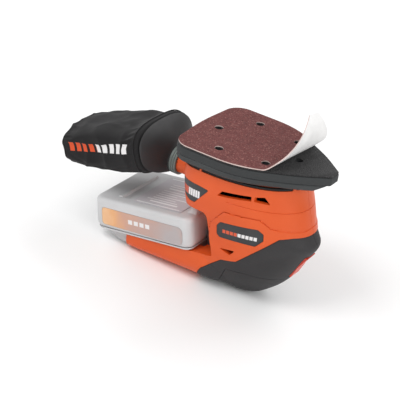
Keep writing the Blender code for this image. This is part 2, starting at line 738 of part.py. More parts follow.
def sector(radius, sweep, low, high):
    """A counterweight opposite the eccentric spigot."""
    steps = 14
    outline = [(0.0, 0.0)]
    for k in range(steps + 1):
        angle = math.pi - sweep / 2.0 + sweep * k / steps
        outline.append((radius * math.cos(angle), radius * math.sin(angle)))
    return prism_z(outline, low, high)


def hole_cuts(radius, low, high, spots=DUST_HOLES):
    return joined([placed(rod(radius, low, high, 16), (x, y, 0.0)) for x, y in spots])


def add_pad(orbit):
    """Pad layers; the orbit empty stands on the eccentric axis, where they are hung."""
    back = Vector((DRIVE_X + ECCENTRICITY, 0.0, 0.0))

    def layer(name, mesh, slot):
        mesh.transform(Matrix.Translation(-back))
        node(name, mesh, slot, orbit)

    centre = ((back.x, 0.0),)
    hook = cut(prism_z(pad_outline(0.0003), HOOK_BOTTOM, HOOK_TOP),
               hole_cuts(PAD_HOLE_RADIUS, -0.004, 0.002), hole_cuts(0.0080, -0.004, 0.002, centre))
    layer("hook_layer", hook, "hook_face")
    foam = cut(prism_z(pad_outline(), FOAM_BOTTOM, FOAM_TOP),
               hole_cuts(PAD_HOLE_RADIUS, -0.015, 0.002), hole_cuts(0.0080, -0.015, 0.002, centre))
    layer("pad_foam", foam, "pad_foam")
    layer("backing_plate", backing_plate(centre), "pad_plate")
    bearing = placed(ring(0.0042, 0.0110, -0.0236, -0.0169, 28), (back.x, 0.0, 0.0))
    layer("pad_bearing", bearing, "steel")
    sheet = cut(pad_sheet(), fold_side(-GAP / 2.0, 0.2),
                hole_cuts(SHEET_HOLE_RADIUS, -0.004, 0.002, DUST_HOLES[:5]))
    layer("sanding_sheet", sheet, "abrasive")


def backing_plate(centre):
    """Stiff plate with a chamfered tip and the bearing boss under it."""
    plate = loft([[(x, y, z) for x, y in pad_outline(inset)]
                  for z, inset in ((PLATE_TOP, 0.0004), (-0.0125, 0.0008), (PLATE_BOTTOM, 0.0028))])
    chamfer = prism_y(((PAD_LENGTH, -0.0080), (PAD_LENGTH - PLATE_TIP_CHAMFER, -0.0160),
                       (PAD_LENGTH - PLATE_TIP_CHAMFER, -0.0300), (PAD_LENGTH + 0.01, -0.0300),
                       (PAD_LENGTH + 0.01, -0.0080)), -0.03, 0.03)
    boss = placed(rod(0.0150, -0.0242, -0.0120, 28), (centre[0][0], 0.0, 0.0))
    seat = placed(rod(0.0113, -0.0260, -0.0166, 28), (centre[0][0], 0.0, 0.0))
    middle = placed(rod(0.0075, -0.0200, 0.0, 24), (centre[0][0], 0.0, 0.0))
    return cut(added(plate, boss), chamfer, seat, middle,
               hole_cuts(PAD_HOLE_RADIUS, -0.0200, 0.0))


def pad_sheet():
    return prism_z(pad_outline(0.0007), SHEET_TOP - SHEET_THICKNESS, SHEET_TOP)


def fold_matrix():
    """Frame with its origin on the fold line and X across it, towards the tip."""
    return Matrix.Translation((FOLD_X, 0.0, SHEET_TOP)) @ Matrix.Rotation(-FOLD_SKEW, 4, "Z")


def fold_side(near, far):
    """A slab across the pad between two distances from the fold line."""
    slab = block((near, -0.1, -0.01), (far, 0.1, 0.01))
    slab.transform(fold_matrix())
    return slab


def add_sheet_tip(fold):
    """Three strips, each turned up about the grit-side edge that it shares with the last."""
    hinge = fold
    last = 0.0
    for letter, near, far, bend in zip("abc", STRIP_ENDS, STRIP_ENDS[1:], STRIP_BENDS):
        strip = kept(pad_sheet(), fold_side(near + GAP / 2.0, far - GAP / 2.0))
        strip.transform(fold_matrix().inverted())
        strip.transform(Matrix.Translation((-near, 0.0, 0.0)))
        hinge = empty(f"fold_{letter}", hinge, (near - last, 0.0, 0.0), -bend)
        node(f"sheet_tip_{letter}", strip, "abrasive", hinge)
        last = near


def add_switch(tool):
    frame = empty("switch_frame", tool, (SWITCH_CENTRE[0], 0.0, SWITCH_CENTRE[1]), SWITCH_LEAN)
    outline = ((-0.0048, -0.0070), (-0.0048, 0.0070), (-0.0015, 0.0128), (0.0012, 0.0128),
               (-0.0004, 0.0), (0.0002, -0.0128), (-0.0015, -0.0128))
    node("switch_rocker", prism_y(outline, -0.0070, 0.0070), "switch_red", frame,
         (-0.0030, 0.0, 0.0))


# ---------------------------------------------------------------- battery pack
def pack_corners():
    return [(PACK_REAR, -PACK_HALF_WIDTH, 0.0095), (PACK_FRONT, -PACK_HALF_WIDTH, 0.0085),
            (PACK_FRONT, PACK_HALF_WIDTH, 0.0085), (PACK_REAR, PACK_HALF_WIDTH, 0.0095)]


def pack_ring(inset, z):
    return [(x, y, z) for x, y in rounded(offset_corners(pack_corners(), inset),
                                          math.radians(22.5))]


def pack_hollow_ring(inset, z):
    corners = [(x, y, 0.0050) for x, y, radius in offset_corners(pack_corners(), inset)]
    return [(x, y, z) for x, y in rounded(corners, math.radians(22.5))]


def add_pack(pack):
    cover = loft([pack_ring(0.0014, PACK_SEAM), pack_ring(0.0, PACK_SEAM + 0.0030),
                  pack_ring(0.0, PACK_TOP - 0.0048), pack_ring(0.0012, PACK_TOP - 0.0024),
                  pack_ring(0.0042, PACK_TOP)])
    hollow = loft([pack_hollow_ring(PACK_WALL, PACK_SEAM - 0.001),
                   pack_hollow_ring(PACK_WALL, PACK_TOP - 0.0050),
                   pack_hollow_ring(PACK_WALL + 0.0034, PACK_TOP - 0.0024)])
    hump = loft([[(-0.0010, -0.0260, PACK_TOP - 0.001), (0.0100, -0.0260, PACK_TOP - 0.001),
                  (0.0100, 0.0260, PACK_TOP - 0.001), (-0.0010, 0.0260, PACK_TOP - 0.001)],
                 [(0.0040, -0.0190, PACK_TOP + 0.0040), (0.0095, -0.0190, PACK_TOP + 0.0040),
                  (0.0095, 0.0190, PACK_TOP + 0.0040), (0.0040, 0.0190, PACK_TOP + 0.0040)]])
    bar = block((PACK_REAR + 0.0210, -0.0240, PACK_TOP - 0.0010),
                (PACK_REAR + 0.0250, 0.0240, PACK_TOP + 0.0008))
    label_seats = [side_label(side, GAP) for side in (-1.0, 1.0)]
    node("pack_cover", cut(added(cover, hump, bar), hollow, *label_seats), "pack_shell", pack)
    for side, name in ((-1.0, "left"), (1.0, "right")):
        node("pack_label_" + name, side_label(side, 0.0), "pack_label", pack)
    plate = block((-0.0530, -0.0290, PACK_TOP + 0.0003), (-0.0030, 0.0290, PACK_TOP + 0.0007))
    node("rating_label", plate, "rating_label", pack)
    node("pack_base", pack_base(), "pack_shell", pack)
    for i in range(5):
        x = PACK_REAR + 0.0052 + CELL_RADIUS + i * (2.0 * CELL_RADIUS + 0.0001)
        cell = rod(CELL_RADIUS, -CELL_LENGTH / 2.0, CELL_LENGTH / 2.0, 20)
        node(f"cell_{i + 1}", placed(cell, (x, 0.0, CELL_Z), "Y"), "cell_wrap", pack)


def side_label(side, growth):
    """Flat label on the side of the pack, thinner than its seat."""
    depth = 0.0003
    outline = rounded([(-0.0797 - growth, -0.0981 - growth, 0.003),
                       (0.0040 + growth, -0.1002 - growth, 0.005),
                       (0.0040 + growth, -0.0836 + growth, 0.005),
                       (-0.0797 - growth, -0.0826 + growth, 0.003)], math.radians(30.0))
    inner = side * (PACK_HALF_WIDTH - depth - (GAP if growth else 0.0))
    outer = side * (PACK_HALF_WIDTH + (0.001 if growth else 0.0))
    return prism_y(outline, min(inner, outer), max(inner, outer))


def pack_base():
    """Lower tray with the rails that slide in the arm and the foot behind it."""
    tray = loft([pack_ring(0.0026, PACK_BOTTOM), pack_ring(0.0012, PACK_BOTTOM + 0.0010),
                 pack_ring(0.0014, PACK_SEAM - GAP)])
    half = ((0.0196, -0.1030), (0.0196, -0.1076), (0.0232, -0.1076), (0.0232, PACK_RAIL_BOTTOM))
    rails = prism_x([*half, *[(-y, z) for y, z in reversed(half)]], -0.0610, 0.0080)
    foot = prism_y(((-0.0850, -0.1030), (-0.0850, -0.1048), (-0.0720, -0.1132),
                    (-0.0650, -0.1154), (-0.0621, -0.1154), (-0.0602, -0.1030)),
                   -0.0290, 0.0290)
    pocket = block((-0.0950, -0.0126, -0.1127), (-0.0715, 0.0126, -0.1061))
    return cut(added(tray, rails, foot), pocket)


def add_latch(pack):
    """Release button in the foot of the pack; it is pressed forward against a spring."""
    outline = ((-0.0816, -0.1065), (-0.0780, -0.1123), (-0.0750, -0.1123), (-0.0750, -0.1065))
    node("pack_release_button", prism_y(outline, -0.0120, 0.0120), "switch_red", pack)


# ---------------------------------------------------------------- dust bag
def bag_oval(centre, tilt, half_width, half_height, squareness, count=32):
    """One oval section of the adapter or the bag, as points of the bag's frame."""
    across = Matrix.Rotation(-tilt, 3, "Y")
    section = []
    for i in range(count):
        turn = 2.0 * math.pi * (i + 0.5) / count
        y, z = oval_point(turn, half_width, half_height, squareness)
        section.append(Vector(centre) + across @ Vector((0.0, y, z)))
    return section


def adapter_oval(share, half_width, half_height, squareness, setback=0.0):
    centre = (-RIM_SETBACK * share - setback, 0.0, RIM_RISE * share)
    return bag_oval(centre, BAG_TILT * share, half_width, half_height, squareness)


def add_bag(bag):
    collar = placed(ring(PORT_RADIUS + GAP, 0.0128, 0.0, 0.0068, 28), along="X")
    node("bag_collar", collar, "collar", bag)
    outer = loft([adapter_oval(*section) for section in ADAPTER_SECTIONS])
    hollow = []
    for share, half_width, half_height, squareness in ADAPTER_SECTIONS:
        hollow.append(adapter_oval(share, half_width - ADAPTER_WALL, half_height - ADAPTER_WALL,
                                   squareness, ADAPTER_WALL if share > 0.0 else -0.001))
    adapter = cut(outer, loft(hollow))
    adapter.transform(Matrix.Translation((-GAP, 0.0, 0.0)))
    node("bag_adapter", adapter, "bag_adapter", bag)
    rim = Vector((-RIM_SETBACK - GAP, 0.0, RIM_RISE))
    along = Vector((-math.cos(BAG_TILT), 0.0, -math.sin(BAG_TILT)))
    fabric = loft([bag_oval(rim + along * reach, BAG_TILT, *section)
                   for reach, *section in BAG_SECTIONS])
    node("dust_bag", fabric, "bag_fabric", bag)


# ---------------------------------------------------------------- the whole sander
def settle(tool):
    """Sets the tool down on the floor, with the middle of its bounds over the origin."""
    bpy.context.view_layer.update()
    corners = [part.matrix_world @ vertex.co for part in bpy.context.scene.objects
               if part.type == "MESH" for vertex in part.data.vertices]
    lows = [min(corner[axis] for corner in corners) for axis in range(3)]
    highs = [max(corner[axis] for corner in corners) for axis in range(3)]
    tool.location = (-(lows[0] + highs[0]) / 2.0, -(lows[1] + highs[1]) / 2.0, -lows[2])
    bpy.context.view_layer.update()


def main():
    clear_scene()
    tool = empty("tool_frame", None, (0.0, 0.0, 0.0), -REST_TILT)
    add_body_shells(tool)
    add_port_and_inner_parts(tool)
    motor_axis = empty("motor_axis", tool, (DRIVE_X, 0.0, 0.0))
    add_rotor(motor_axis)
    orbit_axis = empty("orbit_axis", motor_axis, (ECCENTRICITY, 0.0, 0.0))
    add_pad(orbit_axis)
    fold = empty("fold_line", orbit_axis, (FOLD_X - DRIVE_X - ECCENTRICITY, 0.0, SHEET_TOP),
                 0.0, -FOLD_SKEW)
    add_sheet_tip(fold)
    add_switch(tool)
    pack = empty("pack_frame", tool, (0.0, 0.0, 0.0), -PACK_TILT)
    add_pack(pack)
    add_latch(pack)
    bag = empty("bag_frame", tool, (BAG_X, 0.0, PORT_Z))
    add_bag(bag)
    settle(tool)


main()
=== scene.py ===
"""Looks of the detail mouse sander: it lies on its back with its dust bag and battery pack on.

Everything is built in the tool frame and then set into the row frame: +X runs to the tip of
the pad, +Z stands out of the sanding face, and the origin is the middle of the pad's rear
edge. Sizes are in metres.
"""

import json
import math

import bmesh
import bpy
import numpy as np
from mathutils import Matrix, Vector, noise
from mathutils.bvhtree import BVHTree


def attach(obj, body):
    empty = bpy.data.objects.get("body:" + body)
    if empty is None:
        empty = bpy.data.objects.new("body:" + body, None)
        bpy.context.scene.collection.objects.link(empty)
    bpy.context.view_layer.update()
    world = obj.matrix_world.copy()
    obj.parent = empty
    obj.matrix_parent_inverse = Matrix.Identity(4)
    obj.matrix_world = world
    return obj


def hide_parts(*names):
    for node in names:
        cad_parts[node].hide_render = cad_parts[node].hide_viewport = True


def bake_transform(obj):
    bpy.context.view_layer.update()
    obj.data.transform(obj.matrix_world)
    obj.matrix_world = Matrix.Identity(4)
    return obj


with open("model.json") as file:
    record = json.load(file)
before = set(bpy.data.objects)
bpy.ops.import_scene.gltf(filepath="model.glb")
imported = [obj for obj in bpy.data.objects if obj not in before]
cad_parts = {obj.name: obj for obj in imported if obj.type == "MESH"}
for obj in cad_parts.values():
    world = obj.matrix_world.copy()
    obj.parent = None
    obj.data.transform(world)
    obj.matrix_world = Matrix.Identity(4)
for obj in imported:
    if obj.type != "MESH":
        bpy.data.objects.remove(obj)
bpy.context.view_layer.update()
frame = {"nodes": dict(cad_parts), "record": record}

# ---------------------------------------------------------------- sizes shared with the CAD
GAP = 0.0003
CROWN_REST_X = 0.058
REST_SLOPE = 0.0684211
FACE_MOUNT_X = 0.052
PAD_LENGTH = 0.1305
PAD_HALF_WIDTH = 0.0495
PAD_TIP_HALF_WIDTH = 0.0062
PAD_SIDE = ((0.0040, -PAD_HALF_WIDTH, 0.016), (0.0670, -PAD_HALF_WIDTH, 0.075),
            (0.1100, -0.0230, 0.120), (PAD_LENGTH, -PAD_TIP_HALF_WIDTH, 0.003))
PAD_REAR_RADIUS = 0.200
SHEET_THICKNESS = 0.0009
DUST_HOLES = ((0.0182, 0.0), (0.039, -0.032), (0.039, 0.032),
              (0.080, -0.026), (0.080, 0.026), (0.096, 0.0))
SHEET_HOLE_RADIUS = 0.0038
PAD_HOLE_RADIUS = 0.0034
FOLD_X = 0.0875
FOLD_SKEW = math.radians(3.5)
DRIVE_X = 0.068
BACK_X = 0.069
DRIVE_OPENING = 0.0180
POST_SPOTS = ((0.025, -0.027), (0.025, 0.027), (0.088, -0.015), (0.088, 0.015))
SCREW_SPOTS = ((0.036, -0.036), (0.1035, -0.042), (0.101, -0.066), (0.048, -0.120),
               (0.088, -0.1175), (-0.008, -0.1225))
# z, rear x, nose x, half width and lean of each level of the head
HEAD_LEVELS = (
    (-0.0185, 0.0060, 0.1075, 0.0430, 0.0),
    (-0.0300, 0.0065, 0.1100, 0.0430, 0.0),
    (-0.0420, 0.0080, 0.1140, 0.0423, 0.0),
    (-0.0520, 0.0095, 0.1170, 0.0410, 0.0),
    (-0.0600, 0.0120, 0.1193, 0.0395, 0.0),
    (-0.0660, 0.0200, 0.1230, 0.0383, 0.0),
    (-0.0700, 0.0260, 0.1253, 0.0376, 0.0),
    (-0.0750, 0.0300, 0.1245, 0.0368, 0.0),
    (-0.0850, 0.0300, 0.1188, 0.0356, 0.0),
    (-0.0960, 0.0300, 0.1132, 0.0345, 0.0),
    (-0.1060, 0.0300, 0.1075, 0.0325, 0.0),
    (-0.1150, 0.0300, 0.1005, 0.0286, 0.0),
    (-0.1220, 0.0310, 0.0925, 0.0240, 0.3),
    (-0.1280, 0.0340, 0.0840, 0.0175, 0.7),
    (-0.1318, 0.0400, 0.0760, 0.0115, 1.0),
    (-0.1340, 0.0500, 0.0660, 0.0060, 1.0),
)
HEAD_MIDDLE_X = 0.035
NOSE_SQUARENESS = 2.2
REAR_SQUARENESS = 3.6
# x, lowest z, highest z, half width and squareness of each section of the arm
ARM_SECTIONS = (
    (-0.0410, -0.1250, -0.1050, 0.0325, 4.0),
    (-0.0395, -0.1268, -0.1030, 0.0343, 4.0),
    (-0.0370, -0.1275, -0.1020, 0.0350, 3.6),
    (-0.0250, -0.1283, -0.1010, 0.0350, 3.2),
    (0.0000, -0.1292, -0.0980, 0.0346, 2.7),
    (0.0260, -0.1308, -0.0930, 0.0340, 2.3),
    (0.0420, -0.1325, -0.0900, 0.0330, 2.2),
    (0.0600, -0.1310, -0.0900, 0.0255, 2.2),
)
ARM_FACE_SQUARENESS = 5.0   # of the arm's upper side, under the battery
SCREW_SEAT = 0.0140
SHORT_SCREW = SCREW_SPOTS[4]
SHORT_SEAT = 0.0085         # the narrow end of the grip takes a shorter screw
POST_HOLE_RADIUS = 0.0055
WALL = 0.0036
GRIP_THICKNESS = 0.0015
GRIP_EDGE = ((0.022, -0.140), (0.037, -0.114), (0.056, -0.0975), (0.069, -0.095),
             (0.103, -0.062), (0.112, -0.060), (0.140, -0.060), (0.140, -0.140))
CROWN_EDGE = ((0.044, -0.140), (0.060, -0.1065), (0.140, -0.1065), (0.140, -0.140))
HEAD_UNDERSIDE = -0.0575
PORT_Z = -0.0430
PORT_RADIUS = 0.0105
SWITCH_CENTRE = (0.1147, -0.0925)
SWITCH_LEAN = math.radians(26.6)
VENTS = (
    ((0.0485, -0.0362), (0.0530, -0.0306), (0.0775, -0.0280), (0.0780, -0.0322)),
    ((0.0800, -0.0279), (0.0875, -0.0267), (0.0925, -0.0328), (0.0800, -0.0320)),
    ((0.0530, -0.0862), (0.0680, -0.0846), (0.0635, -0.0902)),
)
NAME_BADGE = ((0.0506, -0.0645), (0.0540, -0.0600), (0.0860, -0.0567), (0.0908, -0.0600),
              (0.0914, -0.0662), (0.0850, -0.0733), (0.0534, -0.0755), (0.0508, -0.0730))
VOLTAGE_BADGE = ((0.0080, -0.0325), (0.0300, -0.0336), (0.0407, -0.0348),
                 (0.0276, -0.0510), (0.0223, -0.0510), (0.0080, -0.0440))
# badges: name, outline, corner radius, depth of the pocket and of the film in it, where the
# print starts (x, z and slope) and how large it is
BADGES = (
    ("name", NAME_BADGE, 0.0022, 0.0011, 0.0007, (0.0560, -0.0700, -0.07), (0.0310, 0.0034)),
    ("voltage", VOLTAGE_BADGE, 0.0010, 0.0015, 0.0012, (0.0120, -0.0455, 0.02),
     (0.0210, 0.0068)),
)
BADGE_Y = (0.0150, 0.0700)
# raised panel round the name badge, and the shelf line above it
PANEL_EDGE = ((0.0425, -0.0815), (0.0440, -0.0640), (0.0565, -0.0493), (0.0870, -0.0477),
              (0.0953, -0.0536), (0.1042, -0.0544), (0.1400, -0.0570), (0.1400, -0.0625),
              (0.1030, -0.0625), (0.0690, -0.0955), (0.0560, -0.0980), (0.0470, -0.0915))
PANEL_LINE = PANEL_EDGE[0:7]
PANEL_RISE = 0.0007
PANEL_GROOVE = 0.0006
SHELF_Z = -0.0400
SHELF_GROOVE = 0.00045
# the hollow for the fingers: its line in x and z, its width and its depth
SCOOP_START = Vector((0.076, -0.101))
SCOOP_END = Vector((0.112, -0.077))
SCOOP_WIDTH = 0.0075
SCOOP_DEPTH = 0.085
# the slit round the rim: bottom, where its seal and the slit itself stop, and its ribs
RIM_SLIT_Z = -0.0204
RIM_SEAL_END = 0.1060
RIM_SLIT_END = 0.1065
RIM_RIBS = ((0.0300, 0.0016), (0.1035, 0.0014))
FAR = 0.08                  # reach of a cutter that goes right through the tool
SIDES = (("left", -1.0), ("right", 1.0))
# z and inset of each level of the pad's layers
HOOK_LAYER = ((-0.0023, 0.0004), (-0.0014, 0.0003), (-0.0012, 0.0007))
FOAM_LAYER = ((-0.0096, 0.0007), (-0.0090, 0.0001), (-0.0085, 0.0),
              (-0.0034, 0.0), (-0.0028, 0.0003), (-0.0025, 0.0009))
PLATE_LAYER = ((-0.0156, 0.0030), (-0.0150, 0.0016), (-0.0140, 0.0009),
               (-0.0104, 0.0003), (-0.0098, 0.0008))
CENTRE_HOLE_RADIUS = 0.0080
PACK_TILT = math.radians(9.3)
PACK_REAR = -0.0895
PACK_FRONT = 0.0115
PACK_HALF_WIDTH = 0.0385
PACK_TOP = -0.0746
PACK_SEAM = -0.1020
PACK_BOTTOM = -0.1042
PACK_RAIL_BOTTOM = -0.1116
PACK_ARM_FACE = -0.1050
BAY_WALL = 0.0305
CHANNEL_FLOOR = -0.1132
PACK_WALL = 0.0022
PACK_ROUNDING = 0.0042
PACK_LABEL_X = (-0.085, 0.010)
# low x, high x, half width, corner radius and height over the top of the raised top's levels
PACK_HUMP = ((-0.0010, 0.0100, 0.0260, 0.0020, -0.0010), (0.0020, 0.0098, 0.0230, 0.0020, 0.0020),
             (0.0036, 0.0095, 0.0196, 0.0018, 0.0037), (0.0046, 0.0088, 0.0186, 0.0014, 0.0040))
# start and end behind the rear, half width and height over the top of each bar's levels
PACK_BAR = ((0.0200, 0.0240, 0.0270, -0.0010), (0.0206, 0.0236, 0.0266, 0.0009))
PACK_TROUGH = ((0.0246, 0.0296, 0.0240, -0.0011), (0.0238, 0.0340, 0.0290, 0.0012))
PACK_FOOT = ((-0.0850, -0.1030), (-0.0850, -0.1048), (-0.0720, -0.1132),
             (-0.0650, -0.1154), (-0.0621, -0.1154), (-0.0602, -0.1030))
# low x, high x, side and width of each printed bar on the battery's top label
RATING_BARS = (
    (-0.0500, -0.0060, -0.0278, 0.0012), (-0.0400, -0.0120, -0.0225, 0.0022),
    (-0.0455, -0.0150, -0.0180, 0.0011), (-0.0420, -0.0190, -0.0140, 0.0011),
    (-0.0420, -0.0110, -0.0100, 0.0011), (-0.0420, -0.0230, -0.0060, 0.0011),
    (-0.0420, -0.0140, -0.0020, 0.0011), (-0.0420, -0.0170, 0.0020, 0.0011),
    (-0.0400, -0.0200, 0.0070, 0.0022), (-0.0420, -0.0130, 0.0120, 0.0011),
    (-0.0420, -0.0180, 0.0160, 0.0011), (-0.0500, -0.0060, 0.0266, 0.0012),
)
BAG_X = -0.0193
RIM_SETBACK = 0.0114        # the bag's rim, behind the port and above it
RIM_RISE = 0.0115
BAG_TILT = math.radians(19.0)
BAG_LIFT = 0.0038           # how far the closed end has risen in use
BAG_RIM = Vector((-RIM_SETBACK - GAP, 0.0, RIM_RISE))
BAG_BACKWARD = Vector((-math.cos(BAG_TILT), 0.0, -math.sin(BAG_TILT)))
BAG_COLUMNS = 96
BAG_LAST_RING = 44
BAG_START = 0.0003
BAG_LENGTH = 0.0877
BAG_END_BULGE = 0.0022
BAG_SWELL_LIMIT = 0.0022
BAG_HEM_RING = 3
ADAPTER_WALL = 0.0022
ADAPTER_SECTIONS = (
    (0.0, 0.0124, 0.0124, 2.0), (0.10, 0.0134, 0.0130, 2.0), (0.30, 0.0215, 0.0158, 2.1),
    (0.62, 0.0325, 0.0190, 2.3), (0.90, 0.0384, 0.0206, 2.5), (1.0, 0.0394, 0.0210, 2.5),
)
BAG_SECTIONS = (
    (0.0003, 0.0398, 0.0214, 2.6), (0.006, 0.0399, 0.0217, 3.0), (0.030, 0.0392, 0.0210, 3.6),
    (0.055, 0.0380, 0.0204, 4.0), (0.074, 0.0368, 0.0196, 4.0), (0.085, 0.0356, 0.0180, 3.6),
    (0.088, 0.0342, 0.0160, 3.2),
)
COLLAR_PROFILE = (
    (PORT_RADIUS + GAP, 0.0002), (0.0124, 0.0), (0.0128, 0.0005), (0.0128, 0.0022),
    (0.0123, 0.0026), (0.0128, 0.0030), (0.0128, 0.0044), (0.0123, 0.0048),
    (0.0128, 0.0052), (0.0127, 0.0066), (0.0122, 0.0068), (PORT_RADIUS + GAP, 0.0068),
)
CLOTH_FRAMES = 16
CLOTH_PITCH = (0.002, 0.0024)
# depth of the bag's long folds, cross folds and ridges, and how far the cloth sinks in
LONG_FOLD, CROSS_FOLD, RIDGE, CLOTH_SINK = 0.0018, 0.0011, 0.0013, 0.0007
# the print on the bag's near side: its front end, lower edge and size; elsewhere there is none
BAG_PRINT_END = -0.0115
BAG_PRINT_LOW = 0.0015
BAG_PRINT_SIZE = (0.0680, 0.0085)
BAG_PRINT_SIDE = -0.022
NO_PRINT = (5.0, 5.0)

# ---------------------------------------------------------------- places
MOUNTS = {mount["name"]: mount for mount in frame["record"]["mounts"]}
FACE = MOUNTS["sanding_face"]
UP = Vector(FACE["axis"]).normalized()
FORWARD = Vector((UP.z, 0.0, -UP.x))
ORIGIN = Vector(FACE["pos_m"]) - FORWARD * FACE_MOUNT_X
TOOL = Matrix(((FORWARD.x, 0.0, UP.x, ORIGIN.x), (0.0, 1.0, 0.0, ORIGIN.y),
               (FORWARD.z, 0.0, UP.z, ORIGIN.z), (0.0, 0.0, 0.0, 1.0)))
PACK = TOOL @ Matrix.Rotation(-PACK_TILT, 4, "Y")
BAG = TOOL @ Matrix.Translation((BAG_X, 0.0, PORT_Z))


# ---------------------------------------------------------------- mesh helpers
def mesh_from(form, triangles=True):
    if triangles:
        bmesh.ops.triangulate(form, faces=form.faces)
    bmesh.ops.recalc_face_normals(form, faces=form.faces)
    mesh = bpy.data.meshes.new("shape")
    form.to_mesh(mesh)
    form.free()
    return mesh


def loft(rings, triangles=True, closed=False):
    """A skin through rings of points, closed on itself or with a flat face at each end."""
    form = bmesh.new()
    rows = [[form.verts.new(point) for point in ring] for ring in rings]
    count = len(rows[0])
    for low, high in zip(rows, rows[1:] + (rows[:1] if closed else [])):
        for i in range(count):
            j = (i + 1) % count
            form.faces.new((low[i], low[j], high[j], high[i]))
    if not closed:
        form.faces.new(rows[0])
        form.faces.new(rows[-1])
    return mesh_from(form, triangles)


def prism_z(outline, low, high):
    return loft([[(x, y, z) for x, y in outline] for z in (low, high)])


def prism_y(outline, low, high):
    return loft([[(x, y, z) for x, z in outline] for y in (low, high)])


def prism_x(outline, low, high):
    return loft([[(x, y, z) for y, z in outline] for x in (low, high)])


def block(low, high):
    """A box between two corners."""
    corners = ((low[0], low[1]), (high[0], low[1]), (high[0], high[1]), (low[0], high[1]))
    return prism_z(corners, low[2], high[2])


def turned(profile, segments, closed=False):
    """A body turned about Z from radii and heights; a closed profile makes a ring."""
    angles = [2.0 * math.pi * i / segments for i in range(segments)]
    return loft([[(radius * math.cos(a), radius * math.sin(a), height) for a in angles]
                 for radius, height in profile], closed=closed)


def rod(radius, low, high, segments=32):
    return turned(((radius, low), (radius, high)), segments)


def placed(mesh, place=(0.0, 0.0, 0.0), along="Z"):
    """A mesh built along Z, turned to another axis and moved."""
    turned_to = {"Z": Matrix.Identity(4),
                 "X": Matrix.Rotation(math.radians(90.0), 4, "Y"),
                 "Y": Matrix.Rotation(math.radians(-90.0), 4, "X")}
    mesh.transform(Matrix.Translation(Vector(place)) @ turned_to[along])
    return mesh


def joined(meshes):
    form = bmesh.new()
    for mesh in meshes:
        form.from_mesh(mesh)
    return mesh_from(form)


def tidied(mesh):
    """The result of a boolean step in triangles, without double points."""
    form = bmesh.new()
    form.from_mesh(mesh)
    bmesh.ops.remove_doubles(form, verts=form.verts, dist=0.000002)
    bmesh.ops.triangulate(form, faces=form.faces)
    form.to_mesh(mesh)
    form.free()
    return mesh


def stand(name, data):
    """A new object that holds some data, in the scene."""
    made = bpy.data.objects.new(name, data)
    bpy.context.scene.collection.objects.link(made)
    return made


def applied(body):
    """The mesh of an object with its modifiers applied; the object itself goes."""
    evaluated = body.evaluated_get(bpy.context.evaluated_depsgraph_get())
    mesh = bpy.data.meshes.new_from_object(evaluated)
    bpy.data.objects.remove(body, do_unlink=True)
    return mesh


def combined(base, *steps):
    """A mesh after a row of boolean steps, each an operation and the mesh it works with."""
    result = base
    for operation, mesh in steps:
        body = stand("body", result)
        cutter = stand("cutter", mesh)
        step = body.modifiers.new(operation, "BOOLEAN")
        step.operation = operation
        step.solver = "EXACT"
        step.object = cutter
        result = tidied(applied(body))
        bpy.data.objects.remove(cutter, do_unlink=True)
    return result


def cut(base, *meshes):
    return combined(base, *[("DIFFERENCE", mesh) for mesh in meshes])


def added(base, *meshes):
    return combined(base, *[("UNION", mesh) for mesh in meshes])


def kept(base, mesh):
    return combined(base, ("INTERSECT", mesh))


def oval_point(turn, half_length, half_width, squareness):
    """A point of an oval; it is an ellipse at squareness 2 and nears a rectangle above it."""
    power = 2.0 / squareness
    c = math.cos(turn)
    s = math.sin(turn)
    return (math.copysign(abs(c) ** power, c) * half_length,
            math.copysign(abs(s) ** power, s) * half_width)


def smooth_rows(rows, steps):
    """Rows of numbers with a smooth curve drawn through them."""
    rows = [np.array(row, float) for row in rows]
    table = [rows[0]] + rows + [rows[-1]]
    made = []
    for a, b, c, d in zip(table, table[1:], table[2:], table[3:]):
        for k in range(steps):
            t = k / steps
            made.append(0.5 * (2.0 * b + (c - a) * t + (2.0 * a - 5.0 * b + 4.0 * c - d) * t * t
                               + (3.0 * b - a - 3.0 * c + d) * t ** 3))
    made.append(rows[-1])
    return made


def turns(count):
    """Angles of the points of a ring, half a step away from the axes."""
    return [2.0 * math.pi * (i + 0.5) / count for i in range(count)]


def corner_sides(corners):
    """Each corner with its radius and the directions of the sides before and after it."""
    spots = [Vector(corner[:2]) for corner in corners]
    sides = [(b - a).normalized() for a, b in zip(spots, spots[1:] + spots[:1])]
    return [(spot, corner[2], sides[i - 1], sides[i])
            for i, (spot, corner) in enumerate(zip(spots, corners))]


def offset_corners(corners, depth):
    """The corners of an outline drawn in by a depth."""
    moved = []
    for here, radius, first, second in corner_sides(corners):
        inward = Vector((-first.y, first.x))
        bisector = (inward + Vector((-second.y, second.x))).normalized()
        spot = here + bisector * (depth / max(0.2, bisector.dot(inward)))
        moved.append((spot.x, spot.y, max(0.0004, radius - depth)))
    return moved


def rounded(corners, step=math.radians(4.0)):
    """An outline with its corners rounded to their radii."""
    outline = []
    for here, radius, first, second in corner_sides(corners):
        turn = -first.angle_signed(second)
        start = here - first * (radius * math.tan(abs(turn) / 2.0))
        centre = start + Vector((-first.y, first.x)) * radius * math.copysign(1.0, turn)
        spoke = start - centre
        pieces = max(1, math.ceil(abs(turn) / step))
        for angle in (turn * k / pieces for k in range(pieces + 1)):
            outline.append((centre.x + spoke.x * math.cos(angle) - spoke.y * math.sin(angle),
                            centre.y + spoke.x * math.sin(angle) + spoke.y * math.cos(angle)))
    return outline


def rectangle(low, high, half, third):
    """Corners of a rectangle about the middle plane, each with the same third number."""
    return [(low, -half, third), (high, -half, third), (high, half, third), (low, half, third)]


def through(outline):
    """A cutter along Y that goes right through the tool."""
    return prism_y(outline, -FAR, FAR)


def mirrored_bar(half, low, high):
    """A bar along X whose section is given by its right half."""
    return prism_x([*half, *[(-y, z) for y, z in reversed(half)]], low, high)


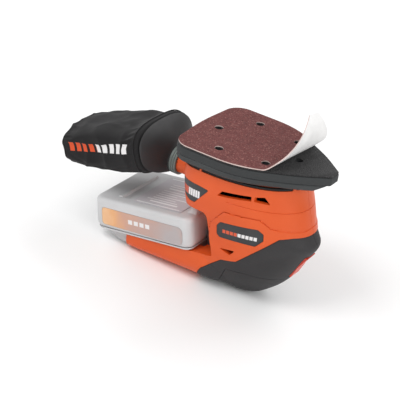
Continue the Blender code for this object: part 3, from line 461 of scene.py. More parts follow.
def tube(points, radius, sides):
    """A closed tube along a line of points."""
    points = [Vector(p) for p in points]
    rings = []
    side = None
    for i, point in enumerate(points):
        ahead = (points[min(i + 1, len(points) - 1)] - points[max(i - 1, 0)]).normalized()
        if side is None:
            side = ahead.orthogonal().normalized()
        side = (side - ahead * side.dot(ahead)).normalized()
        other = ahead.cross(side)
        angles = [2.0 * math.pi * k / sides for k in range(sides)]
        rings.append([point + (side * math.cos(a) + other * math.sin(a)) * radius
                      for a in angles])
    return loft(rings)


def along(corners, step):
    """Points at even steps along a line of corners."""
    made = [Vector(corners[0])]
    for a, b in zip(corners, corners[1:]):
        a, b = Vector(a), Vector(b)
        pieces = max(1, round((b - a).length / step))
        made += [a.lerp(b, k / pieces) for k in range(1, pieces + 1)]
    return made


# ---------------------------------------------------------------- materials
def linear(red, green, blue):
    """The colour for a shader, from screen values from 0 to 255."""
    made = []
    for value in (red, green, blue):
        share = value / 255.0
        made.append(share / 12.92 if share <= 0.04045 else ((share + 0.055) / 1.055) ** 2.4)
    return (*made, 1.0)


class Paint:
    """A Principled material with helpers that add procedural detail to it."""

    def __init__(self, name, roughness, metallic=0.0, specular=0.5, sheen=0.0):
        self.material = bpy.data.materials.new(name)
        self.material.use_nodes = True
        self.tree = self.material.node_tree
        self.shader = self.tree.nodes["Principled BSDF"]
        self.feed(self.shader, (("Roughness", roughness), ("Metallic", metallic),
                                ("Specular IOR Level", specular), ("Sheen Weight", sheen)))
        self.coordinates = self.add("ShaderNodeTexCoord").outputs["Object"]
        self.last_bump = None

    def feed(self, node, inputs):
        """Sets or links each input, given as its name and a value or another node's output."""
        for key, value in inputs:
            if isinstance(value, bpy.types.NodeSocket):
                self.tree.links.new(value, node.inputs[key])
            elif value is not None:
                node.inputs[key].default_value = value

    def add(self, kind, *inputs, **settings):
        node = self.tree.nodes.new(kind)
        for key, value in settings.items():
            setattr(node, key, value)
        self.feed(node, inputs)
        return node

    def uv(self, name):
        return self.add("ShaderNodeUVMap", uv_map=name).outputs["UV"]

    def split(self, vector):
        return self.add("ShaderNodeSeparateXYZ", ("Vector", vector)).outputs

    def noise(self, scale, detail=3.0, rough=0.5, vector=None):
        return self.add("ShaderNodeTexNoise", ("Scale", scale), ("Detail", detail),
                        ("Roughness", rough),
                        ("Vector", vector or self.coordinates)).outputs["Fac"]

    def cells(self, scale, vector=None, output="Distance"):
        return self.add("ShaderNodeTexVoronoi", ("Scale", scale),
                        ("Vector", vector or self.coordinates), feature="F1").outputs[output]

    def spread(self, value, low, high, out_low=0.0, out_high=1.0):
        return self.add("ShaderNodeMapRange", ("Value", value), ("From Min", low),
                        ("From Max", high), ("To Min", out_low), ("To Max", out_high),
                        clamp=True).outputs["Result"]

    def maths(self, operation, a, b=None):
        return self.add("ShaderNodeMath", (0, a), (1, b), operation=operation).outputs["Value"]

    def mixed(self, share, a, b):
        return self.add("ShaderNodeMix", (0, share), (6, a), (7, b), data_type="RGBA").outputs[2]

    def shades(self, value, low, high, dark, light):
        """Two screen colours mixed by where a value lies between two limits."""
        return self.mixed(self.spread(value, low, high), linear(*dark), linear(*light))

    def colour(self, output):
        self.feed(self.shader, (("Base Color", output),))

    def rough(self, value, low, high, out_low, out_high):
        gloss = self.spread(value, low, high, out_low, out_high)
        self.feed(self.shader, (("Roughness", gloss),))

    def bump(self, height, distance, strength=1.0):
        node = self.add("ShaderNodeBump", ("Strength", strength), ("Distance", distance),
                        ("Height", height), ("Normal", self.last_bump))
        self.last_bump = node.outputs["Normal"]
        self.feed(self.shader, (("Normal", self.last_bump),))


def moulded(name, light, dark, roughness, grain=2600.0, depth=0.00004, metallic=0.0,
            specular=0.5):
    """Moulded plastic or metal with fine grain, slow colour change and uneven gloss."""
    paint = Paint(name, roughness, metallic, specular)
    paint.colour(paint.shades(paint.noise(22.0, 3.0, 0.55), 0.3, 0.7, dark, light))
    paint.rough(paint.noise(60.0, 4.0, 0.6), 0.3, 0.7,
                max(0.05, roughness - 0.06), min(1.0, roughness + 0.07))
    paint.bump(paint.noise(grain, 2.0, 0.6), depth, 0.5)
    return paint


def rubber_paint():
    """Soft overmould: fine pebble grain that is rubbed smoother in places."""
    paint = Paint("soft_grip_rubber", 0.62, specular=0.35)
    slow = paint.spread(paint.noise(30.0, 4.0, 0.55), 0.35, 0.7)
    dust = paint.spread(paint.noise(700.0, 2.0), 0.55, 0.8, 0.0, 0.25)
    base = paint.mixed(slow, linear(46, 45, 46), linear(55, 53, 54))
    paint.colour(paint.mixed(dust, base, linear(70, 68, 69)))
    paint.rough(slow, 0.0, 1.0, 0.54, 0.68)
    paint.bump(paint.cells(1500.0), 0.00008, 0.6)
    return paint


def grit_paint():
    """Aluminium oxide paper: dense red-brown grain with lighter and darker specks."""
    paint = Paint("abrasive_grit", 0.80, specular=0.3)
    place = paint.uv("flat")
    tint = paint.cells(1150.0, place, "Color")
    shares = paint.add("ShaderNodeSeparateColor", ("Color", tint)).outputs
    base = paint.shades(paint.noise(90.0, 4.0, 0.6, place), 0.3, 0.7,
                        (99, 52, 50), (114, 63, 61))
    base = paint.mixed(paint.spread(shares["Red"], 0.82, 1.0, 0.0, 0.8),
                       base, linear(156, 106, 98))
    paint.colour(paint.mixed(paint.spread(shares["Green"], 0.72, 1.0, 0.0, 0.75),
                             base, linear(70, 36, 36)))
    paint.rough(shares["Blue"], 0.0, 1.0, 0.62, 0.95)
    paint.bump(paint.cells(1150.0, place), 0.00035, 0.9)
    return paint


def paper_paint(name, light, dark):
    """Paper backing with faint fibre and a soft loop texture."""
    paint = Paint(name, 0.75)
    place = paint.uv("flat")
    fibre = paint.noise(900.0, 4.0, 0.7, place)
    mottled = paint.shades(paint.noise(60.0, 3.0, 0.5, place), 0.35, 0.7, light, dark)
    paint.colour(paint.mixed(paint.spread(fibre, 0.35, 0.75, 0.0, 0.35), mottled, linear(*dark)))
    paint.rough(fibre, 0.3, 0.7, 0.66, 0.86)
    paint.bump(fibre, 0.00012, 0.5)
    return paint


def hook_paint():
    """Hook face of the pad: a close field of stubby black hooks, with a painted highlight on
    their tips.
    """
    paint = Paint("hook_fibres", 0.88, specular=0.3, sheen=0.15)
    place = paint.add("ShaderNodeMapping", ("Scale", (1.0, 1.0, 0.6)),
                      ("Vector", paint.coordinates)).outputs["Vector"]
    hooks = paint.cells(1000.0, place)
    fuzz = paint.noise(1800.0, 3.0, 0.7)
    # painted highlight: the raised tips of the hooks are painted lighter than the black hooks
    painted_tip_highlight = paint.spread(hooks, 0.05, 0.45, 0.55, 0.0)
    base = paint.shades(fuzz, 0.35, 0.7, (29, 28, 29), (40, 39, 40))
    paint.colour(paint.mixed(painted_tip_highlight, base, linear(61, 60, 61)))
    paint.bump(paint.maths("ADD", paint.spread(hooks, 0.0, 0.6, 1.0, 0.0), fuzz), 0.0006, 0.8)
    return paint


def foam_paint():
    """Closed-cell foam band: small open pores on an even skin, with painted shade in the pores.
    """
    paint = Paint("pad_foam_skin", 0.70, specular=0.4)
    pores = paint.cells(1300.0)
    fine = paint.noise(400.0, 3.0, 0.6)
    base = paint.shades(fine, 0.3, 0.7, (47, 49, 50), (55, 57, 58))
    # painted shade: the foam is darkened at the bottom of each pore pit
    paint.colour(paint.mixed(paint.spread(pores, 0.0, 0.22, 0.5, 0.0), base, linear(34, 35, 36)))
    paint.rough(fine, 0.3, 0.7, 0.62, 0.78)
    paint.bump(pores, 0.00012, 0.6)
    return paint


def printed(paint, base, count, orange_share, duty=0.80):
    """A row of plain blocks, orange then white, where the print coordinates run from 0 to 1."""
    spots = paint.split(paint.uv("print"))
    across, up = spots["X"], spots["Y"]
    inside = paint.maths("FRACT", paint.maths("MULTIPLY", across, count))
    inside = paint.maths("LESS_THAN", inside, duty)
    for value in (across, up):
        for test, limit in (("GREATER_THAN", 0.0), ("LESS_THAN", 1.0)):
            inside = paint.maths("MULTIPLY", inside, paint.maths(test, value, limit))
    worn = paint.spread(paint.noise(900.0, 3.0, 0.7), 0.26, 0.40, 0.6, 1.0)
    ink = paint.mixed(paint.maths("LESS_THAN", across, orange_share),
                      linear(228, 226, 226), linear(214, 84, 48))
    return paint.mixed(paint.maths("MULTIPLY", inside, worn), base, ink)


def badge_paint():
    """Dark glossy badge film with a row of plain printed blocks."""
    paint = Paint("badge_film", 0.34)
    base = paint.shades(paint.noise(60.0, 3.0), 0.3, 0.7, (38, 40, 42), (50, 52, 54))
    paint.colour(printed(paint, base, 9.0, 0.42))
    paint.rough(paint.noise(220.0, 3.0), 0.3, 0.7, 0.28, 0.42)
    paint.bump(paint.noise(1500.0, 2.0), 0.00003, 0.4)
    return paint


def fabric_paint():
    """Coated bag cloth: plain weave with painted highlights on the thread crests, faint sheen,
    soft mottling and one row of printed blocks.
    """
    paint = Paint("bag_weave", 0.74, specular=0.18, sheen=0.03)
    place = paint.uv("flat")
    threads = []
    for direction in "XY":
        wave = paint.add("ShaderNodeTexWave", ("Scale", 230.0), ("Distortion", 0.6),
                         ("Detail Scale", 2.0), ("Vector", place),
                         bands_direction=direction, wave_profile="SIN")
        threads.append(wave.outputs["Fac"])
    weave = paint.maths("MAXIMUM", *threads)
    slow = paint.spread(paint.noise(45.0, 4.0, 0.6), 0.35, 0.7)
    base = paint.mixed(slow, linear(23, 22, 23), linear(33, 32, 33))
    # painted highlight: the crests of the weave, where the bump raises the threads, are painted
    # lighter
    base = paint.mixed(paint.spread(weave, 0.2, 1.0, 0.0, 0.30), base, linear(45, 44, 45))
    paint.colour(printed(paint, base, 9.0, 0.45, 0.64))
    paint.rough(slow, 0.0, 1.0, 0.66, 0.82)
    paint.bump(weave, 0.00006, 0.6)
    paint.bump(paint.noise(160.0, 4.0, 0.6), 0.0004, 0.35)
    return paint


def fading_paint():
    """Side label of the pack: warm at the rear, fading to the grey of the case."""
    paint = Paint("pack_label_film", 0.45)
    cloud = paint.noise(45.0, 3.0, 0.5)
    reach = paint.spread(paint.split(paint.coordinates)["X"], *PACK_LABEL_X)
    share = paint.maths("ADD", reach, paint.spread(cloud, 0.3, 0.7, -0.12, 0.12))
    ramp = paint.add("ShaderNodeValToRGB", ("Fac", share))
    colours = ((0.0, (240, 203, 164)), (0.28, (229, 172, 122)), (0.52, (206, 160, 138)),
               (0.76, (188, 160, 152)), (1.0, (178, 170, 170)))
    while len(ramp.color_ramp.elements) < len(colours):
        ramp.color_ramp.elements.new(0.5)
    for element, (position, colour) in zip(ramp.color_ramp.elements, colours):
        element.position = position
        element.color = linear(*colour)
    paint.colour(printed(paint, ramp.outputs["Color"], 4.0, 0.0, 0.72))
    paint.rough(cloud, 0.3, 0.7, 0.38, 0.52)
    paint.bump(paint.noise(500.0, 2.0), 0.00003, 0.4)
    return paint


ORANGE = moulded("orange_abs", (222, 90, 32), (213, 82, 27), 0.42, specular=0.4)
PLATE = moulded("pad_plate_abs", (54, 57, 58), (46, 49, 50), 0.48, specular=0.4)
GREY = moulded("pack_case_abs", (207, 207, 208), (199, 199, 200), 0.45)
ADAPTER = moulded("adapter_abs", (50, 49, 50), (42, 41, 42), 0.52, specular=0.4)
COLLAR = moulded("collar_abs", (112, 120, 116), (98, 106, 102), 0.45)
RED = moulded("switch_red_abs", (222, 66, 34), (206, 54, 26), 0.35)
INNER = moulded("inner_abs", (62, 62, 65), (50, 50, 53), 0.50)
RUBBER = moulded("black_rubber", (38, 38, 38), (28, 28, 28), 0.80, 1200.0, 0.0001)
STEEL = moulded("turned_steel", (196, 198, 200), (176, 178, 181), 0.28, 900.0, 0.00002, 1.0)
WRAP = moulded("cell_sleeve", (78, 134, 172), (62, 118, 160), 0.38)
BOARD = moulded("board_resist", (38, 112, 74), (28, 98, 62), 0.40)
LEAD_RED = moulded("lead_red", (178, 38, 34), (160, 30, 28), 0.50)
LEAD_BLACK = moulded("lead_black", (34, 34, 34), (26, 26, 26), 0.50)
WHITE_INK = moulded("white_ink", (245, 245, 245), (236, 236, 236), 0.50)
FILM = moulded("label_film", (206, 202, 206), (197, 193, 198), 0.40)
SEAM = moulded("seam_tape", (38, 37, 38), (30, 29, 30), 0.70, 1800.0, 0.00008, specular=0.3)
GRIP = rubber_paint()
GRIT = grit_paint()
EDGE = paper_paint("paper_edge", (222, 200, 194), (200, 176, 170))
BACKING = paper_paint("sheet_backing", (244, 243, 242), (228, 227, 226))
HOOKS = hook_paint()
FOAM = foam_paint()
FABRIC = fabric_paint()
BADGE = badge_paint()
LABEL = fading_paint()


# ---------------------------------------------------------------- pieces
def piece(name, mesh, paint, body, place=TOOL, stands_for=(), sharp=35.0):
    """One visible piece, set from its own frame into the row frame."""
    mesh.transform(place)
    if paint is not None:
        mesh.materials.clear()
        mesh.materials.append(paint.material)
    mesh.shade_smooth()
    mesh.set_sharp_from_angle(angle=math.radians(sharp))
    mesh.name = name
    made = stand(name, mesh)
    if stands_for:
        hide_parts(*stands_for)
    if body:
        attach(made, body)
    return made


# ---------------------------------------------------------------- the body
def head_levels(inset):
    """HEAD_LEVELS drawn in by a depth, each with the x where the head is widest."""
    levels = []
    last = len(HEAD_LEVELS) - 1
    for i, (z, rear, nose, half_width, lean) in enumerate(HEAD_LEVELS):
        above = HEAD_LEVELS[max(i - 1, 0)]
        below = HEAD_LEVELS[min(i + 1, last)]
        drop = above[0] - below[0]
        slopes = [(above[k] - below[k]) / drop for k in (1, 2, 3)]
        rise = inset * slopes[2] / math.hypot(1.0, slopes[2])
        if i == 0:
            rise = -inset
        if i == last:
            rise = inset
        reach = [inset * math.hypot(1.0, slope) for slope in slopes]
        middle = HEAD_MIDDLE_X if rear < HEAD_MIDDLE_X - 0.002 else (rear + nose) / 2.0
        levels.append((z + rise, rear + slopes[0] * rise + reach[0],
                       nose + slopes[1] * rise - reach[1],
                       half_width + slopes[2] * rise - reach[2], lean, middle))
    return levels


def level_at(z):
    """The level of the head's outer skin that is nearest to a height."""
    return min(smooth_rows(head_levels(0.0), 4), key=lambda row: abs(row[0] - z))


def scoop(x, z):
    """How far the side of the grip is hollowed for the fingers, from 0 to 1."""
    line = SCOOP_END - SCOOP_START
    spot = Vector((x, z)) - SCOOP_START
    share = max(0.0, min(1.0, spot.dot(line) / line.length_squared))
    return math.exp(-((spot - line * share).length / SCOOP_WIDTH) ** 2)


def head_ring(level, points=128):
    z, rear, nose, half_width, lean, middle = level
    made = []
    for turn in turns(points):
        front = math.cos(turn) > 0.0
        reach = nose - middle if front else middle - rear
        x, y = oval_point(turn, reach, half_width,
                          NOSE_SQUARENESS if front else REAR_SQUARENESS)
        x += middle
        y *= 1.0 - SCOOP_DEPTH * scoop(x, z)
        made.append((x, y, z - lean * REST_SLOPE * (x - CROWN_REST_X)))
    return made


def head_skin(inset=0.0, steps=4, points=128):
    levels = smooth_rows(head_levels(inset), steps)
    return loft([head_ring(level, points) for level in levels])


def arm_skin(depth=0.0):
    rings = []
    for x, low, high, half_width, squareness in smooth_rows(ARM_SECTIONS, 4):
        section = []
        x = max(x, ARM_SECTIONS[0][0] + depth)
        for turn in turns(96):
            y, z = oval_point(turn, half_width - depth, (high - low) / 2.0 - depth,
                              ARM_FACE_SQUARENESS if math.sin(turn) > 0.0 else squareness)
            section.append((x, y, z + (high + low) / 2.0))
        rings.append(section)
    return loft(rings)


def pack_to_tool(x, z):
    return (x * math.cos(PACK_TILT) - z * math.sin(PACK_TILT),
            z * math.cos(PACK_TILT) + x * math.sin(PACK_TILT))


def bay_solid(growth=0.0):
    """The space the battery slides into."""
    behind = -0.140
    wall_top = pack_to_tool(BAY_WALL, HEAD_UNDERSIDE)
    wall_foot = pack_to_tool(BAY_WALL, PACK_ARM_FACE)
    rear_foot = pack_to_tool(behind, PACK_ARM_FACE)
    corners = [(*rear_foot, 0.0005), (*wall_foot, 0.0020),
               (wall_top[0], HEAD_UNDERSIDE, 0.0060), (behind, HEAD_UNDERSIDE, 0.0005)]
    return through(rounded(offset_corners(corners, -growth)))


def channel_solid():
    """The channel that takes the battery's rails."""
    half = ((0.0200, -0.1000), (0.0200, -0.1072), (0.0236, -0.1072), (0.0236, CHANNEL_FLOOR))
    slot = mirrored_bar(half, -0.0750, 0.0140)
    slot.transform(Matrix.Rotation(-PACK_TILT, 4, "Y"))
    return slot


def screw_wells():
    wells = []
    for spot in SCREW_SPOTS:
        seat = SHORT_SEAT if spot == SHORT_SCREW else SCREW_SEAT
        profile = ((0.0019, -0.0110), (0.0019, seat), (0.0033, seat), (0.0033, 0.0600))
        wells.append(placed(turned(profile, 24), (spot[0], 0.0, spot[1]), "Y"))
    return wells


def build_short_screw():
    """The screw at the narrow end of the grip, with its head below the surface."""
    head = SHORT_SEAT + GAP
    profile = ((0.0015, -0.0100), (0.0015, head), (0.0029, head), (0.0029, head + 0.0012),
               (0.0022, head + 0.0020))
    screw = placed(turned(profile, 24), (SHORT_SCREW[0], 0.0, SHORT_SCREW[1]), "Y")
    piece("crown_screw", screw, STEEL, "housing", stands_for=["housing_screw_5"])


def switch_window():
    window = block((-0.0100, -0.0076, -0.0138), (0.0200, 0.0076, 0.0138))
    window.transform(Matrix.Translation((SWITCH_CENTRE[0], 0.0, SWITCH_CENTRE[1]))
                     @ Matrix.Rotation(SWITCH_LEAN, 4, "Y"))
    return window


def half_space(side):
    """Everything on one side of the split between the two halves."""
    low, high = sorted((side * GAP / 2.0, side * 0.1))
    return block((-0.2, low, -0.2), (0.2, high, 0.1))


def outline_zone(outline, side, growth):
    """The space behind a badge's outline, grown a little."""
    centre = Vector((sum(x for x, z in outline), sum(z for x, z in outline))) / len(outline)
    grown = []
    for x, z in outline:
        away = Vector((x, z)) - centre
        grown.append(tuple(centre + away + away.normalized() * growth))
    return prism_y(grown, *sorted(side * y for y in BADGE_Y))


def soft_outline(outline, radius):
    """The same outline with rounded corners."""
    corners = [(x, z, radius) for x, z in outline]
    area = sum(a[0] * b[1] - b[0] * a[1] for a, b in zip(outline, outline[1:] + outline[:1]))
    if area < 0.0:
        corners.reverse()
    return rounded(corners, math.radians(15.0))


def groove_ring(z, radius):
    """A shallow groove round the nose at one height."""
    height, rear, nose, half_width, lean, middle = level_at(z)
    points = []
    for degrees in np.linspace(-75.0, 75.0, 61):
        x, y = oval_point(math.radians(degrees), nose - middle, half_width, NOSE_SQUARENESS)
        points.append((x + middle, y, height))
    return tube(points, radius, 6)


def outline_groove(skin, outline, side, radius):
    """A fine groove along an open line of x and z, laid on the side of the skin."""
    form = bmesh.new()
    form.from_mesh(skin)
    tree = BVHTree.FromBMesh(form)
    form.free()
    points = []
    for spot in along(outline, 0.0015):
        hit = tree.ray_cast(Vector((spot.x, side * 0.2, spot.y)), Vector((0.0, -side, 0.0)))[0]
        if hit is not None and abs(hit.y) > 0.006:
            points.append(hit)
    return tube(points, radius, 6)


def head_plan(z, inset):
    """Outline of the head at one height, as x and y."""
    height, rear, nose, half_width, lean, middle = level_at(z)
    level = (height, rear + inset, nose - inset, half_width - inset, lean, middle)
    return [spot[:2] for spot in head_ring(level)]


def rim_band(outer, inner, low, high):
    """A flat ring that follows the head's outline, between two insets."""
    return cut(prism_z(head_plan(low, outer), low, high),
               prism_z(head_plan(low, inner), low - 0.001, high + 0.001))


def rim_stops(end, growth=0.0):
    """Blocks where the slit under the pad is broken: at each rib, and round the nose."""
    spans = [(x - growth, x + width + growth) for x, width in RIM_RIBS] + [(end, 0.14)]
    return [block((first, -0.07, -0.03), (last, 0.07, 0.0)) for first, last in spans]


def panel_solid():
    """The raised panel on both sides, in two parts that just fail to touch."""
    outline = soft_outline(PANEL_EDGE, 0.0012)
    return kept(head_skin(-PANEL_RISE), joined([
        prism_y(outline, 0.0, FAR), prism_y(outline, -FAR, -0.00001)]))


def housing_cutters():
    """The cavity and every opening of the housing."""
    cavity = cut(head_skin(WALL, 1, 36), bay_solid(0.0032))
    holes = [(DRIVE_OPENING, DRIVE_X, 0.0), *[(POST_HOLE_RADIUS, *spot) for spot in POST_SPOTS]]
    openings = [placed(rod(radius, -0.0300, -0.0100), (x, y, 0.0)) for radius, x, y in holes]
    openings.append(placed(rod(PORT_RADIUS + GAP, -0.0200, 0.0180), (0.0, 0.0, PORT_Z), "X"))
    vents = []
    for outline in VENTS:
        soft = soft_outline(outline, 0.0006)
        vents += [prism_y(soft, 0.0150, 0.0600), prism_y(soft, -0.0600, -0.0150)]
    return bay_solid(), channel_solid(), cavity, joined(openings), switch_window(), joined(vents)


def build_body():
    outer = added(head_skin(), arm_skin())
    skin = added(outer, panel_solid())
    slit = cut(rim_band(-0.0020, 0.0034, RIM_SLIT_Z, -0.0150), *rim_stops(RIM_SLIT_END))
    skin = cut(skin, groove_ring(SHELF_Z, SHELF_GROOVE), slit,
               *[outline_groove(skin, PANEL_LINE, side, PANEL_GROOVE) for name, side in SIDES])
    under = added(head_skin(GRIP_THICKNESS + GAP), arm_skin(GRIP_THICKNESS + GAP))
    shell = cut(added(cut(skin, through(GRIP_EDGE)), under), *housing_cutters())
    for name, side in SIDES:
        pockets = [cut(outline_zone(soft_outline(outline, radius), side, GAP), head_skin(depth))
                   for kind, outline, radius, depth, *rest in BADGES]
        half = cut(kept(shell, half_space(side)), *pockets, *screw_wells())
        piece("shell_" + name, half, ORANGE, "housing",
              stands_for=["housing_" + name])
        add_badges(skin, name, side)
    build_grip(outer)
    build_short_screw()
    seal = cut(rim_band(0.0008, 0.0033, RIM_SLIT_Z + 0.0001, -0.0186),
               *rim_stops(RIM_SEAL_END, 0.0002))
    piece("rim_seal", seal, RUBBER, "housing")


def add_print(made, matrix, start, size):
    """Print coordinates over a flat patch, from its corner (x, z and slope) and size."""
    mesh = made.data
    inverse = matrix.inverted()
    layer = mesh.uv_layers.new(name="print")
    spots = [inverse @ vertex.co for vertex in mesh.vertices]
    for polygon in mesh.polygons:
        for loop in polygon.loop_indices:
            spot = spots[mesh.loops[loop].vertex_index]
            reach = spot.x - start[0]
            rise = spot.z - start[1] + reach * start[2]
            layer.data[loop].uv = (reach / size[0], rise / size[1])


def add_badges(skin, name, side):
    for kind, outline, radius, pocket, depth, start, size in BADGES:
        zone = outline_zone(soft_outline(outline, radius), side, -0.0001)
        made = piece(f"{kind}_plate_{name}", cut(kept(skin, zone), head_skin(depth)), BADGE,
                     "housing", stands_for=[f"{kind}_badge_{name}"])
        add_print(made, TOOL, start, size)


def build_grip(outer):
    inner = added(head_skin(GRIP_THICKNESS), arm_skin(GRIP_THICKNESS))
    zone = [(x + GAP, z - GAP) for x, z in GRIP_EDGE[:6]] + list(GRIP_EDGE[6:])
    grip = cut(kept(outer, through(zone)), inner, bay_solid(), switch_window(), *screw_wells())
    grown_crown = [(CROWN_EDGE[0][0] - GAP, CROWN_EDGE[0][1]),
                   (CROWN_EDGE[1][0] - GAP, CROWN_EDGE[1][1] + GAP),
                   (CROWN_EDGE[2][0], CROWN_EDGE[2][1] + GAP), CROWN_EDGE[3]]
    sides = cut(grip, through(grown_crown))
    for name, side in SIDES:
        piece("grip_side_" + name, kept(sides, half_space(side)), GRIP, "housing",
              stands_for=["grip_" + name])
    piece("grip_top", kept(grip, through(CROWN_EDGE)), GRIP, "housing",
          stands_for=["grip_crown"])


# ---------------------------------------------------------------- the pad and its sheet
def pad_corners():
    mirrored = [(x, -y, radius) for x, y, radius in reversed(PAD_SIDE)]
    return list(PAD_SIDE) + mirrored + [(0.0, 0.0, PAD_REAR_RADIUS)]


def pad_outline(inset=0.0):
    return rounded(offset_corners(pad_corners(), inset), math.radians(2.5))


def pad_layer(profile):
    return loft([[(x, y, z) for x, y in pad_outline(inset)] for z, inset in profile])


def hole_cuts(radius, low, high, spots=DUST_HOLES):
    """Rods that cut a row of holes."""
    return joined([placed(rod(radius, low, high, 28), (x, y, 0.0)) for x, y in spots])


def layer_holes(low):
    """The dust holes and the hole in the middle of a layer of the pad."""
    return [hole_cuts(PAD_HOLE_RADIUS, low, 0.002),
            hole_cuts(CENTRE_HOLE_RADIUS, low, 0.002, ((BACK_X, 0.0),))]


def build_pad():
    hook = cut(pad_layer(HOOK_LAYER), *layer_holes(-0.004))
    piece("pad_hooks", hook, HOOKS, "pad", stands_for=["hook_layer"])
    foam = cut(pad_layer(FOAM_LAYER), *layer_holes(-0.015))
    foam = piece("pad_cushion", foam, FOAM, "pad", stands_for=["pad_foam"])
    plate = pad_layer(PLATE_LAYER)
    chamfer = prism_y(((PAD_LENGTH, -0.0080), (PAD_LENGTH - 0.0130, -0.0160),
                       (PAD_LENGTH - 0.0130, -0.0300), (PAD_LENGTH + 0.01, -0.0300),
                       (PAD_LENGTH + 0.01, -0.0080)), -0.03, 0.03)
    boss, seat, middle = (placed(rod(*size), (BACK_X, 0.0, 0.0)) for size in (
        (0.0150, -0.0242, -0.0120), (0.0113, -0.0260, -0.0166), (0.0075, -0.0200, 0.0)))
    plate = cut(added(plate, boss), chamfer, seat, middle,
                hole_cuts(PAD_HOLE_RADIUS, -0.0200, 0.0))
    piece("pad_plate", plate, PLATE, "pad", stands_for=["backing_plate"])


# distance beyond the fold, and the angle of the peeled sheet there in degrees
FOLD_ANGLES = ((-0.0015, 0.0), (0.0, 18.0), (0.003, 42.0), (0.009, 46.0), (0.014, 50.0),
               (0.018, 61.0), (0.0225, 76.0), (0.027, 91.0), (0.035, 115.0),
               (0.0450, 135.0))
FOLD_START = FOLD_ANGLES[0][0]
FOLD_DRIFT = 0.0095        # how far the peeled tip has slipped sideways
FOLD_TWIST = 0.11          # how much higher its near side stands
FOLD_WARP = 1.6            # how late along the tip both set in
FOLD_EXTRA = 0.0022        # how far the paper reaches past the pad
FLAP_WAVE = 0.0012         # height of the soft wave across the peeled tip
FLAP_COLUMNS = 28
MID_STRIPS = (0.009, 0.021)
# peeled pieces: name, the bodies at its ends, where it bends, and the CAD node it replaces
FLAPS = (
    ("sheet_fold", ("pad", "sheet_tip_root"), (FOLD_START, 0.004), "sheet_tip_a"),
    ("sheet_curl", ("sheet_tip_root", "sheet_tip_middle"), (0.0105, 0.018), "sheet_tip_b"),
    ("sheet_point", ("sheet_tip_middle", "sheet_tip_end"), (0.024, 0.032), "sheet_tip_c"),
)


def fold_profile():
    """Distance beyond the fold, x, z and angle of the peeled sheet's grit side."""
    rows = []
    step = 0.00025
    s, x, z = FOLD_START, FOLD_START, 0.0
    distances = [row[0] for row in FOLD_ANGLES]
    angles = [math.radians(row[1]) for row in FOLD_ANGLES]
    while s < FOLD_ANGLES[-1][0]:
        angle = float(np.interp(s, distances, angles))
        rows.append((s, x, z, angle))
        s += step
        x += step * math.cos(angle)
        z += step * math.sin(angle)
    return np.array(rows)


def span_at(outline, x):
    """Where a line across the sheet at x meets its outline."""
    hits = []
    for (ax, ay), (bx, by) in zip(outline, outline[1:] + outline[:1]):
        if (ax - x) * (bx - x) <= 0.0 and abs(bx - ax) > 1e-9:
            hits.append(ay + (by - ay) * (x - ax) / (bx - ax))
    return min(hits), max(hits)


def fold_turn():
    """The place of the fold on the pad; it runs a little askew."""
    return Matrix.Translation((FOLD_X, 0.0, 0.0)) @ Matrix.Rotation(-FOLD_SKEW, 4, "Z")


def dress_sheet(made, flat_of, marks):
    """Grit, backing or paper edge for each face, with flat coordinates for the patterns."""
    mesh = made.data
    mesh.materials.clear()
    for paint in (GRIT, BACKING, EDGE):
        mesh.materials.append(paint.material)
    layer = mesh.uv_layers.new(name="flat")
    for polygon, mark in zip(mesh.polygons, marks):
        polygon.material_index = mark
        for loop in polygon.loop_indices:
            layer.data[loop].uv = flat_of[mesh.loops[loop].vertex_index]


def flap_share(s):
    """Share of the way from the fold to the tip of the peeled part."""
    return max(0.0, s) / FOLD_ANGLES[-1][0]


def flap_span(outline, s):
    """The two edges of the peeled sheet at a distance beyond the fold."""
    return span_at(outline, s - FOLD_EXTRA * flap_share(s))


def flap_point(row, y, depth):
    """A point of the peeled sheet, from a row of its profile and a place across it."""
    s, x, z, angle = row
    wave = FLAP_WAVE * math.sin(y * 85.0 + 0.6) * min(1.0, max(0.0, s / 0.02)) ** 2
    late = flap_share(s) ** FOLD_WARP
    return Vector((x + (depth + wave) * math.sin(angle), y + FOLD_DRIFT * late,
                   z - (depth + wave) * math.cos(angle) - FOLD_TWIST * y * late))


def build_flap_strip(name, first, last, profile, outline):
    rows = [row for row in profile if first - 1e-9 <= row[0] <= last + 1e-9]
    rows = rows[::3] + ([rows[-1]] if (len(rows) - 1) % 3 else [])
    form = bmesh.new()
    flat_of = []
    grids = []
    for depth in (0.0, SHEET_THICKNESS):
        grid = []
        for row in rows:
            low, high = flap_span(outline, row[0])
            across = [low + (high - low) * k / FLAP_COLUMNS for k in range(FLAP_COLUMNS + 1)]
            grid.append([form.verts.new(flap_point(row, y, depth)) for y in across])
            flat_of += [(row[0], y) for y in across]
        grids.append(grid)
    top, under = grids
    end = len(rows) - 1
    faces = []
    for i in range(end):
        for k in range(FLAP_COLUMNS):
            faces.append((0, (top[i][k], top[i + 1][k], top[i + 1][k + 1], top[i][k + 1])))
            faces.append((1, (under[i][k + 1], under[i + 1][k + 1], under[i + 1][k],
                              under[i][k])))
        for k in (0, FLAP_COLUMNS):
            faces.append((2, (top[i][k], under[i][k], under[i + 1][k], top[i + 1][k])))
    for i in (0, end):
        for k in range(FLAP_COLUMNS):
            faces.append((2, (top[i][k], top[i][k + 1], under[i][k + 1], under[i][k])))
    for mark, corners in faces:
        form.faces.new(corners)
    mesh = mesh_from(form, triangles=False)
    made = piece(name, mesh, None, None, TOOL @ fold_turn(), sharp=50.0)
    dress_sheet(made, flat_of, [mark for mark, corners in faces])
    return made


